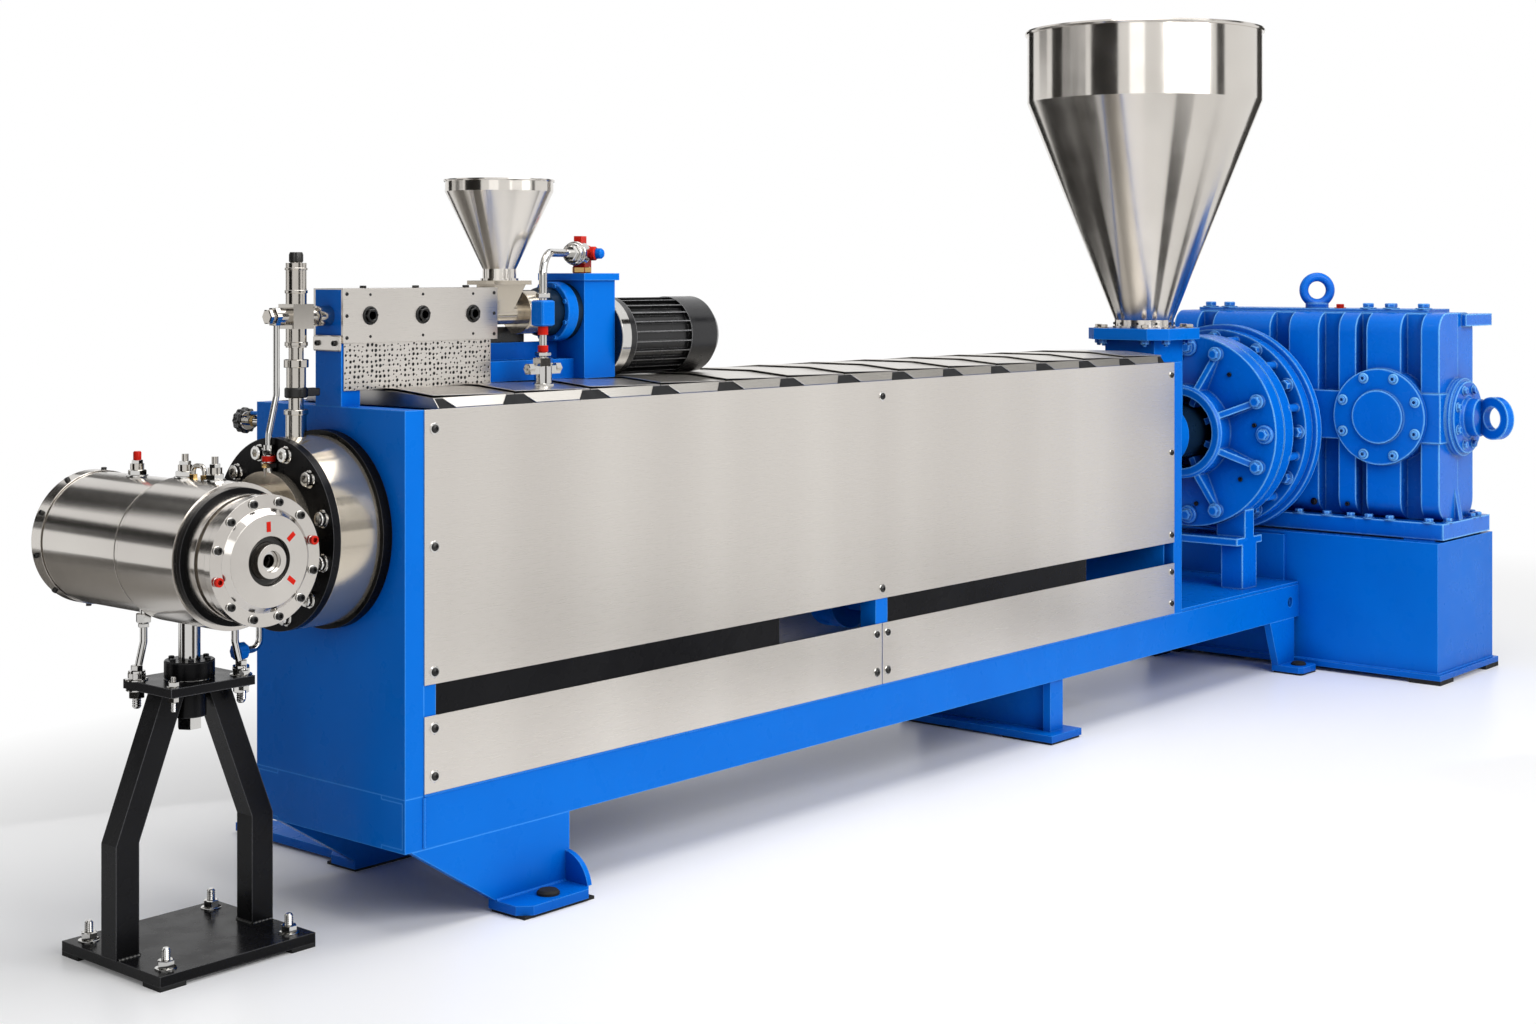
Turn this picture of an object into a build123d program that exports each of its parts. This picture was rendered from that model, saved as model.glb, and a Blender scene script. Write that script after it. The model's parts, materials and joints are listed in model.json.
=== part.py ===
from build123d import *
import os
from math import atan2, degrees, hypot, sqrt

# Single-screw plastic extruder with a crosshead die, a small co-extruder on top and a ribbed gearbox.
#
# Machine coordinates while modelling, in millimetres: X runs along the screw from the front face of the
# end plate (X = 0) towards the gearbox, Y = 0 is the screw axis with the operator's side at -Y, and
# Z = 0 is the floor. The finished pieces are moved so that the origin lies in the middle of the frame's
# anchor bolts.

# Screw and barrel
SCREW_DIAMETER = 150
AXIS_HEIGHT = 990
BARREL_OUTER = 240
JACKET_OUTER = 380
JACKET_COUNT = 6
JACKET_GAP = 40
FIT_GAP = 0.3

# Frame
FRAME_WIDTH = 600
FRAME_RISE = 310
BEAM_BOTTOM = 212
BEAM_HEIGHT = 133
BEAM_FLANGE = 90
BEAM_WALL = 10
BEAM_EYE_RADIUS = 21
BEAM_EYE_INSET = 75
END_PLATE_THICKNESS = 60
POST_SIZE = 60
FRONT_POST_LENGTH = 38
RAIL_SIZE = 40
CROSS_MEMBER_LENGTH = 60
DECK_THICKNESS = 12
DECK_UPSTAND_HEIGHT = 190
DECK_UPSTAND_WIDTH = 480

# Feet of the frame
PAD_THICKNESS = 8
PAD_INSET = 6
FOOT_THICKNESS = 24
FOOT_REACH = 105
ANCHOR_RADIUS = 14
ANCHOR_OUTSIDE = 55
LEG_THICKNESS = 30
FRONT_LEG_TOP_START = 20
FRONT_LEG_START = 300
FRONT_LEG_END = 560
FAR_FOOT_REACH = 560
FAR_FOOT_TIP = 70
GUSSET_HEIGHT = 80
GUSSET_THICKNESS = 16
MID_LEG_SETBACK = 1820
MID_LEG_LENGTH = 80
MID_FOOT_LENGTH = 190
REAR_LEG_SETBACK = 40
REAR_LEG_LENGTH = 140
REAR_LEG_SLOPE = 70

# Cladding
SHEET = 3
CLADDING_LENGTH = 3680
UPPER_PANEL_BOTTOM = 618
LOWER_PANEL_TOP = 540
LOWER_PANEL_CLEARANCE = 4
PANEL_JOINT = 4
MID_POST_START = 1890
COVER_COUNT = 13
COVER_LINE_START = 137
COVER_GAP = 4
COVER_CREST_HEIGHT = 36
COVER_CREST_HALF = 105
COVER_FOOT_HALF = 268
COVER_KNEE_HEIGHT = 24
COVER_KNEE_HALF = 248
COVER_NOTCH_TOP = 28
COVER_NOTCH_FOOT = 58
SHIELD_OVERLAP = 35
SHIELD_FRONT_LENGTH = 1325
SHIELD_REAR_LENGTH = 1170

# Barrel blowers
BLOWER_RADIUS = 118
BLOWER_WIDTH = 96
BLOWER_DROP = 395
BLOWER_DUCT = 92
BLOWER_MOTOR_RADIUS = 58
BLOWER_MOTOR_LENGTH = 90
BLOWER_BOLT_RADIUS = 20

# Adapter drum on the end plate
BACK_RING_RADIUS = 252
BACK_RING_THICKNESS = 28
DRUM_RADIUS = 240
DRUM_LENGTH = 120
FLANGE_THICKNESS = 22
FLANGE_BORE = 60

# Crosshead die
CROSSHEAD_X = -385
CROSSHEAD_DROP = 20
CROSSHEAD_BODY_RADIUS = 175
CROSSHEAD_TAIL_RADIUS = 166
CROSSHEAD_NEAR = -146
CROSSHEAD_STEP = 78
CROSSHEAD_FAR = 466
TAIL_FLANGE_LENGTH = 42
TAIL_FLANGE_RADIUS = 169
SEAM_GROOVE = 4
NECK_RADIUS = 126
NECK_COLLAR_RADIUS = 158
NECK_COLLAR_LENGTH = 26
DIE_RING_RADIUS = 163
DIE_RING_LENGTH = 14
DIE_HOLDER_RADIUS = 150
DIE_HOLDER_LENGTH = 82
DIE_FLANGE_RADIUS = 154
DIE_FLANGE_LENGTH = 22
DIE_CONE_RADIUS = 108
DIE_CONE_LENGTH = 14
DIE_TUBE_RADIUS = 44
DIE_TUBE_LENGTH = 26
DIE_RECESS_RADIUS = 58
DIE_RECESS_DEPTH = 16
DIE_BORE_RADIUS = 25
FITTING_PLACES = (262, 58, -64)
FITTING_RADIUS = 17
FITTING_HEIGHT = 30
FITTING_STEM_RADIUS = 8
FITTING_STEM_HEIGHT = 26
LEAD_RADIUS = 6
LEAD_SPAN = 46
LEAD_BEND = 16

# Stand under the crosshead
STAND_Y = 40
STAND_LENGTH = 436
STAND_WIDTH = 410
STAND_PLATE = 25
STAND_PAD = 10
STAND_PAD_SIZE = 70
STAND_TUBE = 62
STAND_LEG_SPREAD = 190
STAND_LEG_TOP_SPREAD = 62
STAND_KNEE = 300
STAND_TOP_LENGTH = 236
STAND_TOP_WIDTH = 200
STAND_TOP_PLATE = 22
STAND_ANCHOR_INSET = 45
STAND_ANCHOR_RADIUS = 11
JACK_RADIUS = 26
JACK_EXPOSED = 133
JACK_COLLAR_RADIUS = 58
JACK_COLLAR_HEIGHT = 42
JACK_SLEEVE_RADIUS = 40
JACK_SLEEVE_LENGTH = 70
JACK_NUT_SIZE = 30
JACK_NUT_HEIGHT = 30
DRAIN_RADIUS = 9
DRAIN_SPREAD_X = 84
DRAIN_SPREAD_Y = 66
DRAIN_FOOT_RADIUS = 20
DRAIN_FOOT_HEIGHT = 14
TAP_Y = 70
TAP_DROP = 62
TAP_REACH = 44
TAP_BEND = 26
TAP_KNOB_RADIUS = 17
TAP_KNOB_LENGTH = 30
PLATE_TAP_DROP = 55
PLATE_TAP_RADIUS = 13
PLATE_TAP_LENGTH = 78
PLATE_TAP_KNOB_RADIUS = 30
PLATE_TAP_KNOB_LENGTH = 34

# Melt column between the co-extruder and the drum
MELT_X = -100
MELT_COLUMN_RADIUS = 26
MELT_BLOCK_SIZE = 62
MELT_RISE = 160
BYPASS_X = -183
BYPASS_RADIUS = 8
BYPASS_SLEEVE_RADIUS = 13
BYPASS_HEAD_X = -160

# Co-extruder
COEX_RISE = 230
COEX_POST_LENGTH = 60
COEX_POST_WIDTH = 104
COEX_COVER_END = 522
COEX_COVER_HEIGHT = 139
COEX_COVER_WIDTH = 120
COEX_PORT_COUNT = 3
COEX_PORT_RADIUS = 24
COEX_PORT_DEPTH = 30
COEX_GUARD_START = 6
COEX_GUARD_END = 502
COEX_GUARD_CLEARANCE = 40
COEX_GUARD_RECESS = 5
GUARD_HOLE_RADIUS = 6
GUARD_HOLE_PITCH = 26
GUARD_HOLE_ROWS = 4
COEX_BEAM_HEIGHT = 56
COEX_BEAM_WIDTH = 84
COEX_WEB_THICKNESS = 16
COEX_WEB_CLEARANCE = 3
COEX_BARREL_RADIUS = 33
COEX_COUPLING_X = 650
COEX_COUPLING_RADIUS = 58
COEX_BELL_X = 730
COEX_BELL_RADIUS = 68
COEX_COLUMN_X = 827
COEX_COLUMN_LENGTH = 122
COEX_COLUMN_WIDTH = 170
COEX_COLUMN_RISE = 88
COEX_CAP_THICKNESS = 20
COEX_CAP_OVERHANG = 9
COEX_MOTOR_CLEARANCE = 3
COEX_MOTOR_RADIUS = 116
COEX_MOTOR_LENGTH = 436
COEX_MOTOR_FINS = 24
SMALL_HOPPER_X = 584
SMALL_HOPPER_RADIUS = 148
SMALL_HOPPER_NECK_RADIUS = 46
SMALL_HOPPER_RISE = 88
SMALL_HOPPER_NECK_HEIGHT = 32
SMALL_HOPPER_CONE_HEIGHT = 212
SMALL_HOPPER_CYLINDER_HEIGHT = 33
SMALL_HOPPER_SHEET = 3

# Cooling water pipe and valve beside the co-extruder
WATER_PIPE_X = 606
WATER_PIPE_Y = -150
WATER_PIPE_RADIUS = 11
WATER_PIPE_RISE = 164
WATER_PIPE_BEND = 62
VALVE_X = 880
VALVE_Y = -20

# Feed section and main hopper
FEED_SETBACK = 120
FEED_LENGTH = 300
FEED_RADIUS = 130
FEED_THROAT_OFFSET = 171
THROAT_SIZE = 222
THROAT_BORE = 95
FEED_FLANGE_RISE = 386
FEED_FLANGE_THICKNESS = 44
FEED_FLANGE_SIZE = 364
FEED_FLANGE_CHAMFER = 62
HOPPER_RADIUS = 462
HOPPER_NECK_HEIGHT = 32
HOPPER_CONE_HEIGHT = 864
HOPPER_CYLINDER_HEIGHT = 284
HOPPER_NECK_RADIUS = 117
HOPPER_SHEET = 4
HOPPER_RIM_RADIUS = 7

# Lantern between the feed section and the gearbox
LANTERN_SETBACK = 230
LANTERN_HUB_RADIUS = 190
LANTERN_HUB_BORE = 150
LANTERN_HUB_LENGTH = 84
LANTERN_HUB_STEP = 10
LANTERN_FLANGE_RADIUS = 392
LANTERN_FLANGE_LENGTH = 70
LANTERN_RIM_LENGTH = 80
LANTERN_RIM_SEAM = 5
LANTERN_RIB_COUNT = 8
LANTERN_RIB_THICKNESS = 26
LANTERN_WAIST_RADIUS = 320
LANTERN_WAIST_LENGTH = 70
LANTERN_REAR_RADIUS = 412
LANTERN_REAR_LENGTH = 60
LANTERN_BOLT_BOSS = 24
LANTERN_STUD_COUNT = 12
LANTERN_STUD_RADIUS = 17
LANTERN_STUD_INSET = 34
SLEEVE_RADIUS = 108
PEDESTAL_SADDLE_DEPTH = 32
PEDESTAL_TABLE_THICKNESS = 30
PEDESTAL_TABLE_LENGTH = 210
PEDESTAL_COLUMN_LENGTH = 120
PEDESTAL_COLUMN_WIDTH = 96
PEDESTAL_COLUMN_SPREAD = 190
PEDESTAL_SADDLE_WIDTH = 110

# Gearbox and its base
CASE_LENGTH = 372
CASE_NEAR = -872
CASE_FAR = 330
CASE_RISE = 486
CASE_TOP_RADIUS = 80
CASE_FLANGE_GAP = 8
CASE_FLANGE_THICKNESS = 66
CASE_FLANGE_REACH = 28
CASE_FLANGE_REAR_REACH = 74
CASE_RING_RADIUS = 432
CASE_RING_LENGTH = 40
CASE_NECK_RADIUS = 360
CASE_NECK_LENGTH = 140
CASE_END_STEP = 14
SLOTS = ((-795, 84), (-562, 45), (-440, 88), (-216, 86), (144, 71))
SLOT_DEPTH = 60
SPLIT_BAND_HEIGHT = 200
SPLIT_BAND_PROUD = 7
LID_THICKNESS = 14
LUG_LENGTH = 270
LUG_REACH = 150
LUG_WIDTH = 70
LUG_HEIGHT = 50
END_GUSSET_HEIGHT = 170
END_GUSSET_THICKNESS = 34
INTERMEDIATE_SHAFT_Y = -628
INTERMEDIATE_SHAFT_RISE = 62
COVER_RADIUS = 196
COVER_THICKNESS = 24
COVER_CAP_RADIUS = 108
COVER_CAP_THICKNESS = 16
END_COVER_RADIUS = 158
END_COVER_STEP = 12
END_COVER_THICKNESS = 30
END_HUB_RADIUS = 76
END_HUB_LENGTH = 52
INPUT_SHAFT_RADIUS = 42.5
INPUT_SHAFT_LENGTH = 170
INPUT_SHAFT_CHAMFER = 3
EYE_RING_RADIUS = 56
EYE_BAR_RADIUS = 19
EYE_BASE_RADIUS = 48
EYE_TURN = 40
EYE_Y = -253
END_EYE_RADIUS = 86
END_EYE_HOLE = 46
END_EYE_THICKNESS = 36
END_EYE_WALL = 12
END_EYE_TURN = -24
GEAR_BASE_SETBACK = 80
GEAR_BASE_LENGTH = 556
GEAR_BASE_NEAR = -900
GEAR_BASE_FAR = 370
GEAR_BASE_DROP = 430
GEAR_BASE_PLATE = 22
GEAR_BASE_REACH = 18
GEAR_PAD_THICKNESS = 18
GEAR_PAD_SIZE = 130

# Worked out from the sizes above
HALF = FRAME_WIDTH / 2
BEAM_TOP = BEAM_BOTTOM + BEAM_HEIGHT
FRAME_TOP = AXIS_HEIGHT + FRAME_RISE
RAIL_TOP = FRAME_TOP - SHEET
PLATE_TAP_HEIGHT = FRAME_TOP - PLATE_TAP_DROP
CLADDING_END = END_PLATE_THICKNESS + CLADDING_LENGTH
REAR_POST_END = CLADDING_END + POST_SIZE
FOOT_TOP = PAD_THICKNESS + FOOT_THICKNESS
FEED_START = CLADDING_END + FEED_SETBACK
FEED_END = FEED_START + FEED_LENGTH
FEED_CENTRE = FEED_START + FEED_THROAT_OFFSET
LANTERN_FLANGE_X = FEED_END + LANTERN_SETBACK
LANTERN_RIM_END = LANTERN_FLANGE_X + LANTERN_FLANGE_LENGTH + LANTERN_RIM_LENGTH
LANTERN_REAR_X = LANTERN_RIM_END + LANTERN_WAIST_LENGTH
LANTERN_END = LANTERN_REAR_X + LANTERN_REAR_LENGTH
CASE_X = LANTERN_END + CASE_RING_LENGTH + CASE_NECK_LENGTH
CASE_END = CASE_X + CASE_LENGTH
GEAR_BASE_X = CASE_X - GEAR_BASE_SETBACK
BEAM_LENGTH = GEAR_BASE_X
MID_LEG_CENTRE = BEAM_LENGTH - MID_LEG_SETBACK
REAR_LEG_END = BEAM_LENGTH - REAR_LEG_SETBACK
REAR_LEG_START = REAR_LEG_END - REAR_LEG_LENGTH
FRONT_FOOT_X = (FRONT_LEG_START + FRONT_LEG_END) / 2
REAR_FOOT_X = (REAR_LEG_START + REAR_LEG_END) / 2
ANCHOR_Y = HALF + ANCHOR_OUTSIDE
ORIGIN_X = (FRONT_FOOT_X + REAR_FOOT_X) / 2
BARREL_RADIUS = BARREL_OUTER / 2
CROSSHEAD_HEIGHT = AXIS_HEIGHT - CROSSHEAD_DROP
JACKET_RADIUS = JACKET_OUTER / 2
BYPASS_FOOT = AXIS_HEIGHT + NECK_COLLAR_RADIUS - BYPASS_SLEEVE_RADIUS
DRUM_BACK = -BACK_RING_THICKNESS
DRUM_FRONT = DRUM_BACK - DRUM_LENGTH
FLANGE_FRONT = DRUM_FRONT - FLANGE_THICKNESS
STAND_PLATE_TOP = STAND_PAD + STAND_PLATE
STAND_TABLE_TOP = CROSSHEAD_HEIGHT - CROSSHEAD_BODY_RADIUS - JACK_EXPOSED
STAND_TOP_HEIGHT = STAND_TABLE_TOP - STAND_TOP_PLATE
COEX_AXIS_HEIGHT = FRAME_TOP + COEX_RISE
COEX_COVER_BOTTOM = COEX_AXIS_HEIGHT - COEX_COVER_HEIGHT / 2
COEX_COVER_TOP = COEX_AXIS_HEIGHT + COEX_COVER_HEIGHT / 2
COEX_BELL_RIM = 1.2 * COEX_BELL_RADIUS
COEX_WEB_TOP = COEX_AXIS_HEIGHT - COEX_BELL_RIM - COEX_WEB_CLEARANCE
COEX_GUARD_BOTTOM = FRAME_TOP + COEX_GUARD_CLEARANCE
COEX_COLUMN_TOP = COEX_AXIS_HEIGHT + COEX_COLUMN_RISE
COEX_MOTOR_HEIGHT = FRAME_TOP + COVER_CREST_HEIGHT + COEX_MOTOR_CLEARANCE + COEX_MOTOR_RADIUS
MELT_TOP = COEX_AXIS_HEIGHT + MELT_RISE
SMALL_HOPPER_BOTTOM = COEX_AXIS_HEIGHT + SMALL_HOPPER_RISE
SMALL_HOPPER_CONE_BOTTOM = SMALL_HOPPER_BOTTOM + SMALL_HOPPER_NECK_HEIGHT
SMALL_HOPPER_CONE_TOP = SMALL_HOPPER_CONE_BOTTOM + SMALL_HOPPER_CONE_HEIGHT
SMALL_HOPPER_TOP = SMALL_HOPPER_CONE_TOP + SMALL_HOPPER_CYLINDER_HEIGHT
WATER_PIPE_TOP = COEX_AXIS_HEIGHT + WATER_PIPE_RISE
FEED_FLANGE_BOTTOM = AXIS_HEIGHT + FEED_FLANGE_RISE
FEED_FLANGE_TOP = FEED_FLANGE_BOTTOM + FEED_FLANGE_THICKNESS
HOPPER_CONE_BOTTOM = FEED_FLANGE_TOP + HOPPER_NECK_HEIGHT
HOPPER_CONE_TOP = HOPPER_CONE_BOTTOM + HOPPER_CONE_HEIGHT
HOPPER_TOP = HOPPER_CONE_TOP + HOPPER_CYLINDER_HEIGHT
PEDESTAL_TABLE_TOP = AXIS_HEIGHT - LANTERN_FLANGE_RADIUS - PEDESTAL_SADDLE_DEPTH
CASE_TOP = AXIS_HEIGHT + CASE_RISE
GEAR_BASE_TOP = AXIS_HEIGHT - GEAR_BASE_DROP
CASE_FLANGE_BOTTOM = GEAR_BASE_TOP + CASE_FLANGE_GAP
CASE_BOTTOM = CASE_FLANGE_BOTTOM + CASE_FLANGE_THICKNESS
INTERMEDIATE_SHAFT_HEIGHT = AXIS_HEIGHT + INTERMEDIATE_SHAFT_RISE
COVER_PITCH = (CLADDING_END - COVER_LINE_START) / COVER_COUNT


# Building blocks
def block(x0, x1, y0, y1, z0, z1):
    """A box between two corners."""
    return Pos((x0 + x1) / 2, (y0 + y1) / 2, (z0 + z1) / 2) * Box(x1 - x0, y1 - y0, z1 - z0)


def rod_x(radius, x0, x1, y, z):
    """A round bar along X."""
    return Pos((x0 + x1) / 2, y, z) * Rot(0, 90, 0) * Cylinder(radius, x1 - x0)


def rod_y(radius, y0, y1, x, z):
    """A round bar along Y."""
    return Pos(x, (y0 + y1) / 2, z) * Rot(90, 0, 0) * Cylinder(radius, y1 - y0)


def rod_z(radius, z0, z1, x, y):
    """A round bar along Z."""
    return Pos(x, y, (z0 + z1) / 2) * Cylinder(radius, z1 - z0)


def plate_xz(points, y0, y1):
    """A flat plate with its outline in X and Z, from y0 to y1."""
    return extrude(Pos(0, y0, 0) * (Plane.XZ * Polygon(*points, align=None)), amount=y1 - y0, dir=(0, 1, 0))


def plate_yz(points, x0, x1):
    """A flat plate with its outline in Y and Z, from x0 to x1."""
    return extrude(Pos(x0, 0, 0) * (Plane.YZ * Polygon(*points, align=None)), amount=x1 - x0, dir=(1, 0, 0))


def plate_xy(points, z0, z1):
    """A flat plate with its outline in X and Y, from z0 to z1."""
    return extrude(Pos(0, 0, z0) * Polygon(*points, align=None), amount=z1 - z0, dir=(0, 0, 1))


def turned_x(profile, y, z):
    """A body turned about an axis along X: profile is a list of (x, radius) points."""
    face = Plane.XZ * Polygon(*profile, align=None)
    return Pos(0, y, z) * revolve(face, Axis.X)


def turned_y(profile, x, z):
    """A body turned about an axis along Y: profile is a list of (y, radius) points."""
    face = Plane.XY * Polygon(*[(radius, y) for y, radius in profile], align=None)
    return Pos(x, 0, z) * revolve(face, Axis.Y)


def turned_z(profile, x, y):
    """A body turned about an upright axis: profile is a list of (radius, z) points."""
    face = Plane.XZ * Polygon(*profile, align=None)
    return Pos(x, y, 0) * revolve(face, Axis.Z)


def tube(path_points, bend, radius):
    """A round tube along straight runs joined by tangent bends."""
    path = FilletPolyline(*path_points, radius=bend)
    section = Plane(path @ 0, z_dir=path % 0) * Circle(radius)
    return sweep(section, path=path)


def both_sides(shape):
    """The piece and its mirror image across the screw axis."""
    return [shape, mirror(shape, about=Plane.XZ)]


# Frame
def front_end_plate():
    plate = block(0, END_PLATE_THICKNESS, -HALF, HALF, BEAM_TOP, FRAME_TOP)
    bore = rod_x(BARREL_RADIUS + FIT_GAP, 0, END_PLATE_THICKNESS, 0, AXIS_HEIGHT)
    return plate - bore


def base_beams():
    """Two channels along the machine, with their webs outside."""
    web = block(0, BEAM_LENGTH, -HALF, -HALF + BEAM_WALL, BEAM_BOTTOM, BEAM_TOP)
    top = block(0, BEAM_LENGTH, -HALF, -HALF + BEAM_FLANGE, BEAM_TOP - BEAM_WALL, BEAM_TOP)
    bottom = block(0, BEAM_LENGTH, -HALF, -HALF + BEAM_FLANGE, BEAM_BOTTOM, BEAM_BOTTOM + BEAM_WALL)
    eye = rod_y(BEAM_EYE_RADIUS, -HALF, -HALF + BEAM_WALL, BEAM_LENGTH - BEAM_EYE_INSET,
                (BEAM_BOTTOM + BEAM_TOP) / 2)
    return Compound(both_sides(web + top + bottom - eye))


def cross_member(x0):
    """A bar that fills the channels at both ends and stands at full height between them."""
    inner = HALF - BEAM_FLANGE
    ends = HALF - BEAM_WALL
    x1 = x0 + CROSS_MEMBER_LENGTH
    middle = block(x0, x1, -inner, inner, BEAM_BOTTOM, BEAM_TOP)
    return middle + block(x0, x1, -ends, ends, BEAM_BOTTOM + BEAM_WALL, BEAM_TOP - BEAM_WALL)


def cross_members():
    places = [0, MID_POST_START / 2, MID_POST_START, MID_LEG_CENTRE - CROSS_MEMBER_LENGTH / 2,
              CLADDING_END, BEAM_LENGTH - CROSS_MEMBER_LENGTH]
    return Compound([cross_member(x) for x in places])


def rear_deck():
    """The plate over the rear of the beams, turned up against the gearbox base."""
    end = HALF - SHEET
    half = DECK_UPSTAND_WIDTH / 2
    top = BEAM_TOP + DECK_THICKNESS
    deck = block(REAR_POST_END, BEAM_LENGTH, -end, end, BEAM_TOP, top)
    return deck + block(BEAM_LENGTH - DECK_THICKNESS, BEAM_LENGTH, -half, half, top,
                        top + DECK_UPSTAND_HEIGHT)


def frame_posts():
    """Front, middle and rear posts that carry the cladding, on both sides."""
    posts = []
    for start, length in ((END_PLATE_THICKNESS, FRONT_POST_LENGTH), (MID_POST_START, POST_SIZE),
                          (CLADDING_END, POST_SIZE)):
        top = FRAME_TOP if start == CLADDING_END else RAIL_TOP - RAIL_SIZE
        posts += both_sides(block(start, start + length, -HALF, -HALF + POST_SIZE, BEAM_TOP, top))
    return Compound(posts)


def top_rails():
    rail = block(END_PLATE_THICKNESS, CLADDING_END, -HALF, -HALF + RAIL_SIZE, RAIL_TOP - RAIL_SIZE,
                 RAIL_TOP)
    return Compound(both_sides(rail))


def foot_plate(x0, x1):
    """A foot plate that reaches outside the frame, with chamfered outer corners and an anchor hole."""
    outer = -HALF - FOOT_REACH
    inner = -HALF + LEG_THICKNESS
    chamfer = (x1 - x0) / 8
    outline = [(x0, inner), (x0, outer + chamfer), (x0 + chamfer, outer), (x1 - chamfer, outer),
               (x1, outer + chamfer), (x1, inner)]
    plate = plate_xy(outline, PAD_THICKNESS, FOOT_TOP)
    return plate - rod_z(ANCHOR_RADIUS, PAD_THICKNESS, FOOT_TOP, (x0 + x1) / 2, -ANCHOR_Y)


def gusset(x0, height):
    """A rounded web between a leg and its foot plate."""
    reach = FOOT_REACH * 0.8
    with BuildSketch(Plane.YZ) as outline:
        with BuildLine():
            corner = (-HALF, FOOT_TOP)
            tip = (-HALF - reach, FOOT_TOP)
            crown = (-HALF, FOOT_TOP + height)
            Line(corner, tip)
            ThreePointArc(tip, (-HALF - reach * 0.72, FOOT_TOP + height * 0.62), crown)
            Line(crown, corner)
        make_face()
    return extrude(Pos(x0, 0, 0) * outline.sketch, amount=GUSSET_THICKNESS, dir=(1, 0, 0))


def front_foot():
    leg = plate_xz([(FRONT_LEG_TOP_START, BEAM_BOTTOM), (FRONT_LEG_END, BEAM_BOTTOM),
                    (FRONT_LEG_END, FOOT_TOP),
                    (FRONT_LEG_START, FOOT_TOP)], -HALF, -HALF + LEG_THICKNESS)
    web = gusset(FRONT_LEG_END - GUSSET_THICKNESS, GUSSET_HEIGHT)
    return leg + foot_plate(FRONT_LEG_START, FRONT_LEG_END) + web


def far_outrigger():
    """A flat arm that runs on from the far front foot and narrows to its tip."""
    root = HALF + FOOT_REACH - LEG_THICKNESS
    tip = HALF + FAR_FOOT_REACH
    margin = (FRONT_LEG_END - FRONT_LEG_START) / 8
    return plate_xy([(FRONT_LEG_START + margin, root), (FRONT_LEG_END - margin, root),
                     (FRONT_LEG_START + margin + FAR_FOOT_TIP, tip), (FRONT_LEG_START + margin, tip)],
                    PAD_THICKNESS, FOOT_TOP)


def rear_foot():
    leg = plate_xz([(REAR_LEG_START - REAR_LEG_SLOPE, BEAM_BOTTOM), (REAR_LEG_END, BEAM_BOTTOM),
                    (REAR_LEG_END, FOOT_TOP), (REAR_LEG_START, FOOT_TOP)], -HALF, -HALF + LEG_THICKNESS)
    return leg + foot_plate(REAR_LEG_START, REAR_LEG_END)


def mid_foot():
    """A foot across the whole machine under the middle of the beams."""
    leg_half = HALF - LEG_THICKNESS
    foot_half = HALF + ANCHOR_OUTSIDE / 2
    web = LEG_THICKNESS / 2
    leg = block(MID_LEG_CENTRE - web, MID_LEG_CENTRE + web, -leg_half, leg_half, FOOT_TOP, BEAM_BOTTOM)
    ends = [block(MID_LEG_CENTRE - MID_LEG_LENGTH / 2, MID_LEG_CENTRE + MID_LEG_LENGTH / 2,
                  side * leg_half - web, side * leg_half + web, FOOT_TOP, BEAM_BOTTOM) for side in (-1, 1)]
    plate = block(MID_LEG_CENTRE - MID_FOOT_LENGTH / 2, MID_LEG_CENTRE + MID_FOOT_LENGTH / 2,
                  -foot_half, foot_half, PAD_THICKNESS, FOOT_TOP)
    return leg + ends[0] + ends[1] + plate


def frame_feet():
    near_front, far_front = both_sides(front_foot())
    return Compound([near_front, far_front + far_outrigger(), mid_foot()] + both_sides(rear_foot()))


def foot_pad(x0, x1, y0, y1):
    return block(x0 + PAD_INSET, x1 - PAD_INSET, y0 + PAD_INSET, y1 - PAD_INSET, 0, PAD_THICKNESS)


def foot_pads():
    """Rubber sheets under the frame's feet, the stand and the gearbox base."""
    pads = []
    for x0, x1 in ((FRONT_LEG_START, FRONT_LEG_END), (REAR_LEG_START, REAR_LEG_END)):
        pad = foot_pad(x0, x1, -HALF - FOOT_REACH, -HALF + LEG_THICKNESS)
        pads += both_sides(pad - rod_z(ANCHOR_RADIUS, 0, PAD_THICKNESS, (x0 + x1) / 2, -ANCHOR_Y))
    mid = foot_pad(MID_LEG_CENTRE - MID_FOOT_LENGTH / 2, MID_LEG_CENTRE + MID_FOOT_LENGTH / 2,
                   -HALF - ANCHOR_OUTSIDE / 2, -HALF + MID_FOOT_LENGTH)
    pads += both_sides(mid)
    for side_x in (-1, 1):
        for side_y in (-1, 1):
            x = CROSSHEAD_X + side_x * (STAND_LENGTH - STAND_PAD_SIZE) / 2
            y = STAND_Y + side_y * (STAND_WIDTH - STAND_PAD_SIZE) / 2
            half = STAND_PAD_SIZE / 2
            pads.append(block(x - half, x + half, y - half, y + half, 0, STAND_PAD)
                        - rod_z(STAND_ANCHOR_RADIUS, 0, STAND_PAD,
                                CROSSHEAD_X + side_x * (STAND_LENGTH / 2 - STAND_ANCHOR_INSET),
                                STAND_Y + side_y * (STAND_WIDTH / 2 - STAND_ANCHOR_INSET)))
    for x in (GEAR_BASE_X - GEAR_BASE_REACH,
              GEAR_BASE_X + GEAR_BASE_LENGTH + GEAR_BASE_REACH - GEAR_PAD_SIZE):
        for y in (GEAR_BASE_NEAR - GEAR_BASE_REACH, GEAR_BASE_FAR + GEAR_BASE_REACH - GEAR_PAD_SIZE):
            pads.append(block(x, x + GEAR_PAD_SIZE, y, y + GEAR_PAD_SIZE, 0, GEAR_PAD_THICKNESS))
    return Compound(pads)


# Cladding
def side_sheet(x0, x1, z0, z1):
    """A flat sheet screwed to the outside of the posts."""
    return block(x0, x1, -HALF - SHEET, -HALF, z0, z1)


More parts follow.
